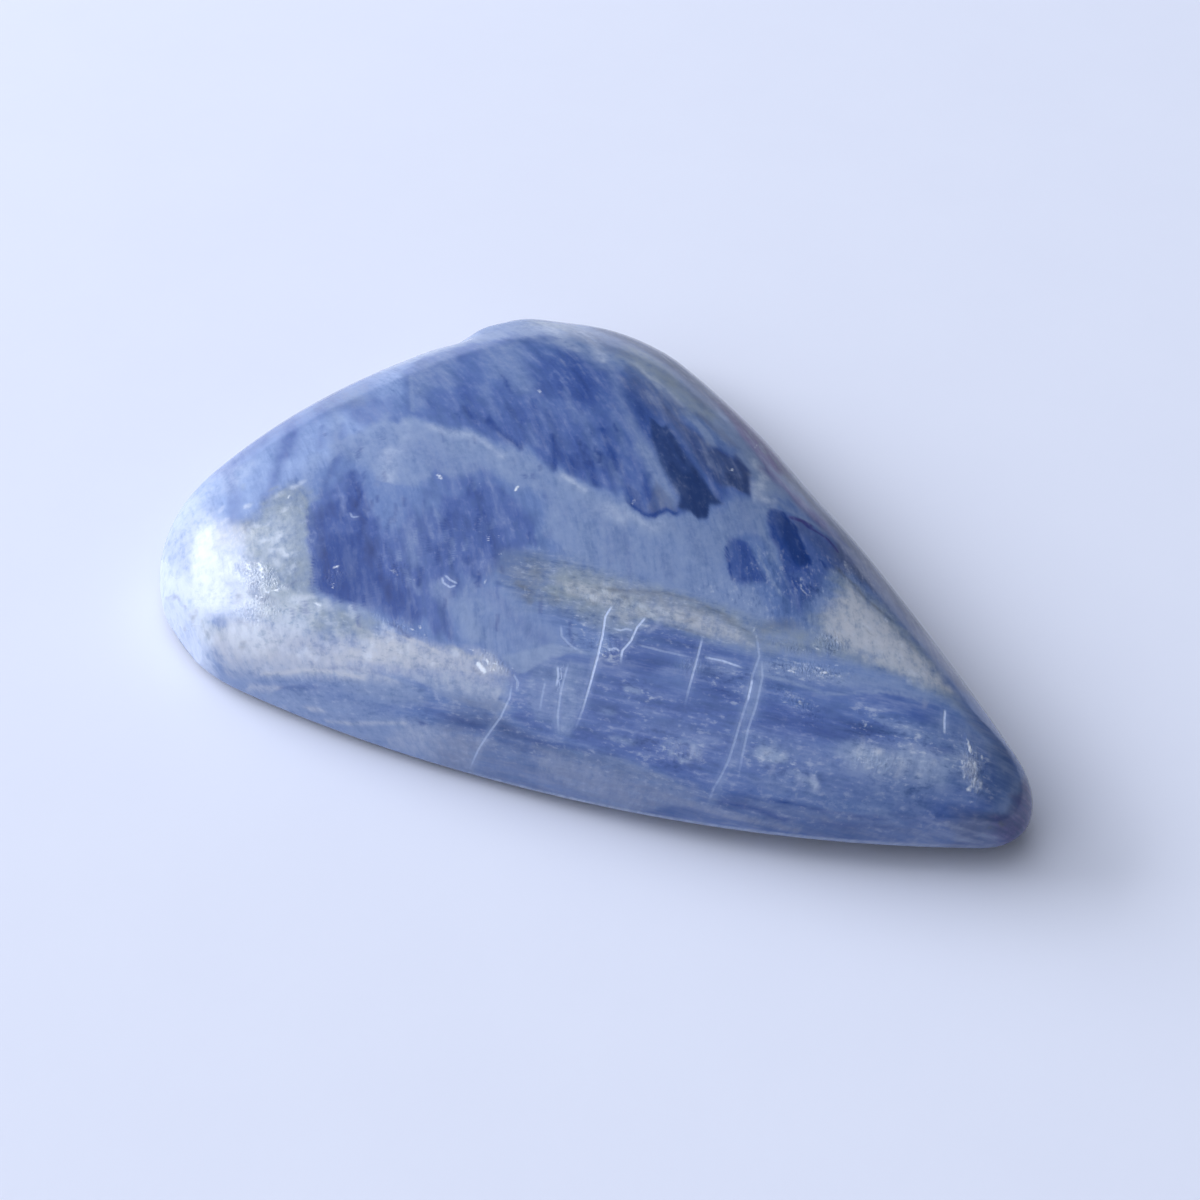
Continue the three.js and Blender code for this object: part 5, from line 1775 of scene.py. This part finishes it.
# %% A dull, streaky back
back = Nodes("lapped_kyanite")
where = back.tree.nodes.new("ShaderNodeTexCoord").outputs["Object"]
GRAIN_TURN = -math.radians(LONG_GRAIN["angle"])
LAP_TURN = math.radians(35)
wide_streaks = back.noise(where, (6 * MM, 1.1 * MM, 1), 4, 0.6, 0.0, GRAIN_TURN)
thin_streaks = back.noise(where, (2 * MM, 0.2 * MM, 1), 3, 0.6, 3.0, GRAIN_TURN)
scratches = back.noise(where, (4 * MM, 0.05 * MM, 1), 2, 0.5, 9.0, LAP_TURN)
under = back.mix(back.between(wide_streaks, 0.35, 0.62), colour(84, 104, 156), colour(142, 156, 190))
under = back.mix(back.between(thin_streaks, 0.5, 0.75, 0, 0.6), under, colour(60, 80, 140))
back.put(back.shader.inputs["Base Color"], under)
back.put(back.shader.inputs["Roughness"], back.scaled(scratches, 0.3, 0.4))
back.put(back.shader.inputs["Normal"], back.bump(scratches, 0.3, 0.02 * MM))
back.shader.inputs["IOR"].default_value = REFRACTION
mesh.materials.append(back.material)
print("back ready")

# %% [markdown]
# ## What the stone stands for
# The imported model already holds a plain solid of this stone, which the simulation weighs and
# rests on the table.

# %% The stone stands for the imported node
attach(stone, "root")
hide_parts("kyanite_cabochon")
print(stone.name, "stands for kyanite_cabochon")

# %% [markdown]
# ## The table
# The stone lies on plain pale lavender card. Card isn't perfectly even, so it gets a trace of
# mottling, and it is large enough to fill every view.

# %% Pale card
CARD_HALF = 600
CARD_GAP = 0.02
card_mesh = bpy.data.meshes.new("card")
card_sides = [(-1, -1), (1, -1), (1, 1), (-1, 1)]
card_corners = [(x * CARD_HALF * MM, y * CARD_HALF * MM, LOW.z - CARD_GAP * MM) for x, y in card_sides]
card_mesh.from_pydata(card_corners, [], [(0, 1, 2, 3)])
card = bpy.data.objects.new("card", card_mesh)
bpy.context.scene.collection.objects.link(card)
paper = Nodes("lavender_card")
spot = paper.tree.nodes.new("ShaderNodeTexCoord").outputs["Object"]
unevenness = paper.noise(spot, (9 * MM, 9 * MM, 1), 4, 0.6)
tooth = paper.noise(spot, (0.7 * MM, 0.7 * MM, 1), 3, 0.6)
lavender = paper.mix(unevenness, colour(224, 229, 249), colour(228, 233, 252))
paper.put(paper.shader.inputs["Base Color"], lavender)
paper.put(paper.shader.inputs["Normal"], paper.bump(tooth, 0.1, 0.05 * MM))
paper.shader.inputs["Roughness"].default_value = 0.85
paper.shader.inputs["Specular IOR Level"].default_value = 0.2
card_mesh.materials.append(paper.material)
card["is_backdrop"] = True
print("card laid")

# %% [markdown]
# ## The room's light
# Soft daylight comes from the left. The far side of the room is dimmer, so the top of the dome
# reflects little and its blues stay deep. The room is a background whose strength rises smoothly
# towards its bright side, which needs no walls.

# %% A soft room
scene = bpy.context.scene
scene.view_settings.view_transform = "Standard"
scene.view_settings.look = "None"
ROOM_TINT = (0.90, 0.94, 1.0, 1)
FACING_RANGE = (0.15, 0.95)
STRENGTH_RANGE = (0.12, 1.53)


def view_way(right, up, back):
    """A direction given by how it leans to the camera's right, up and towards the camera."""
    side = Vector((math.cos(CAMERA_AZIMUTH), math.sin(CAMERA_AZIMUTH), 0))
    ahead = Vector((-math.sin(CAMERA_AZIMUTH), math.cos(CAMERA_AZIMUTH), 0))
    return (side * right + Vector((0, 0, 1)) * up - ahead * back).normalized()


world = bpy.data.worlds.new("room")
world.use_nodes = True
room = world.node_tree
facing = room.nodes.new("ShaderNodeVectorMath")
facing.operation = "DOT_PRODUCT"
facing.inputs[1].default_value = view_way(-0.82, 0.6, -0.05)
room.links.new(room.nodes.new("ShaderNodeTexCoord").outputs["Generated"], facing.inputs[0])
level = room.nodes.new("ShaderNodeMapRange")
level.interpolation_type = "SMOOTHSTEP"
for socket, value in zip(level.inputs[1:5], FACING_RANGE + STRENGTH_RANGE):
    socket.default_value = value
room.links.new(facing.outputs["Value"], level.inputs[0])
room.links.new(level.outputs[0], room.nodes["Background"].inputs["Strength"])
room.nodes["Background"].inputs["Color"].default_value = ROOM_TINT
scene.world = world
print("room strength from", STRENGTH_RANGE[0], "to", STRENGTH_RANGE[1])

# %% [markdown]
# ## The window
# The blunt end carries one blown-out highlight. It is the mirror image of a window that stands low
# behind the stone on the left: a wide, low window, because the curve of the blunt end stretches
# its reflection upwards.

# %% A wide, low window on the left
WINDOW_WAY = view_way(-0.8, 0.43, -0.36)
WINDOW_DISTANCE = 480
WINDOW_SIZE = (400, 180)
WINDOW_WATTS = 1.68
light_data = bpy.data.lights.new("left_window", "AREA")
light_data.shape = "RECTANGLE"
light_data.size, light_data.size_y = [side * MM for side in WINDOW_SIZE]
light_data.energy = WINDOW_WATTS
light_data.color = (0.97, 0.985, 1.0)
light = bpy.data.objects.new("left_window", light_data)
light.location = WINDOW_WAY * WINDOW_DISTANCE * MM
light.rotation_euler = (-WINDOW_WAY).to_track_quat("-Z", "Y").to_euler()
scene.collection.objects.link(light)
print("window at, mm:", [round(c / MM) for c in light.location])

# %% Sizes, then the end
VISUAL_BOX = [list(corner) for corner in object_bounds()]
print("visual box, mm:", [[round(c / MM, 3) for c in corner] for corner in VISUAL_BOX])
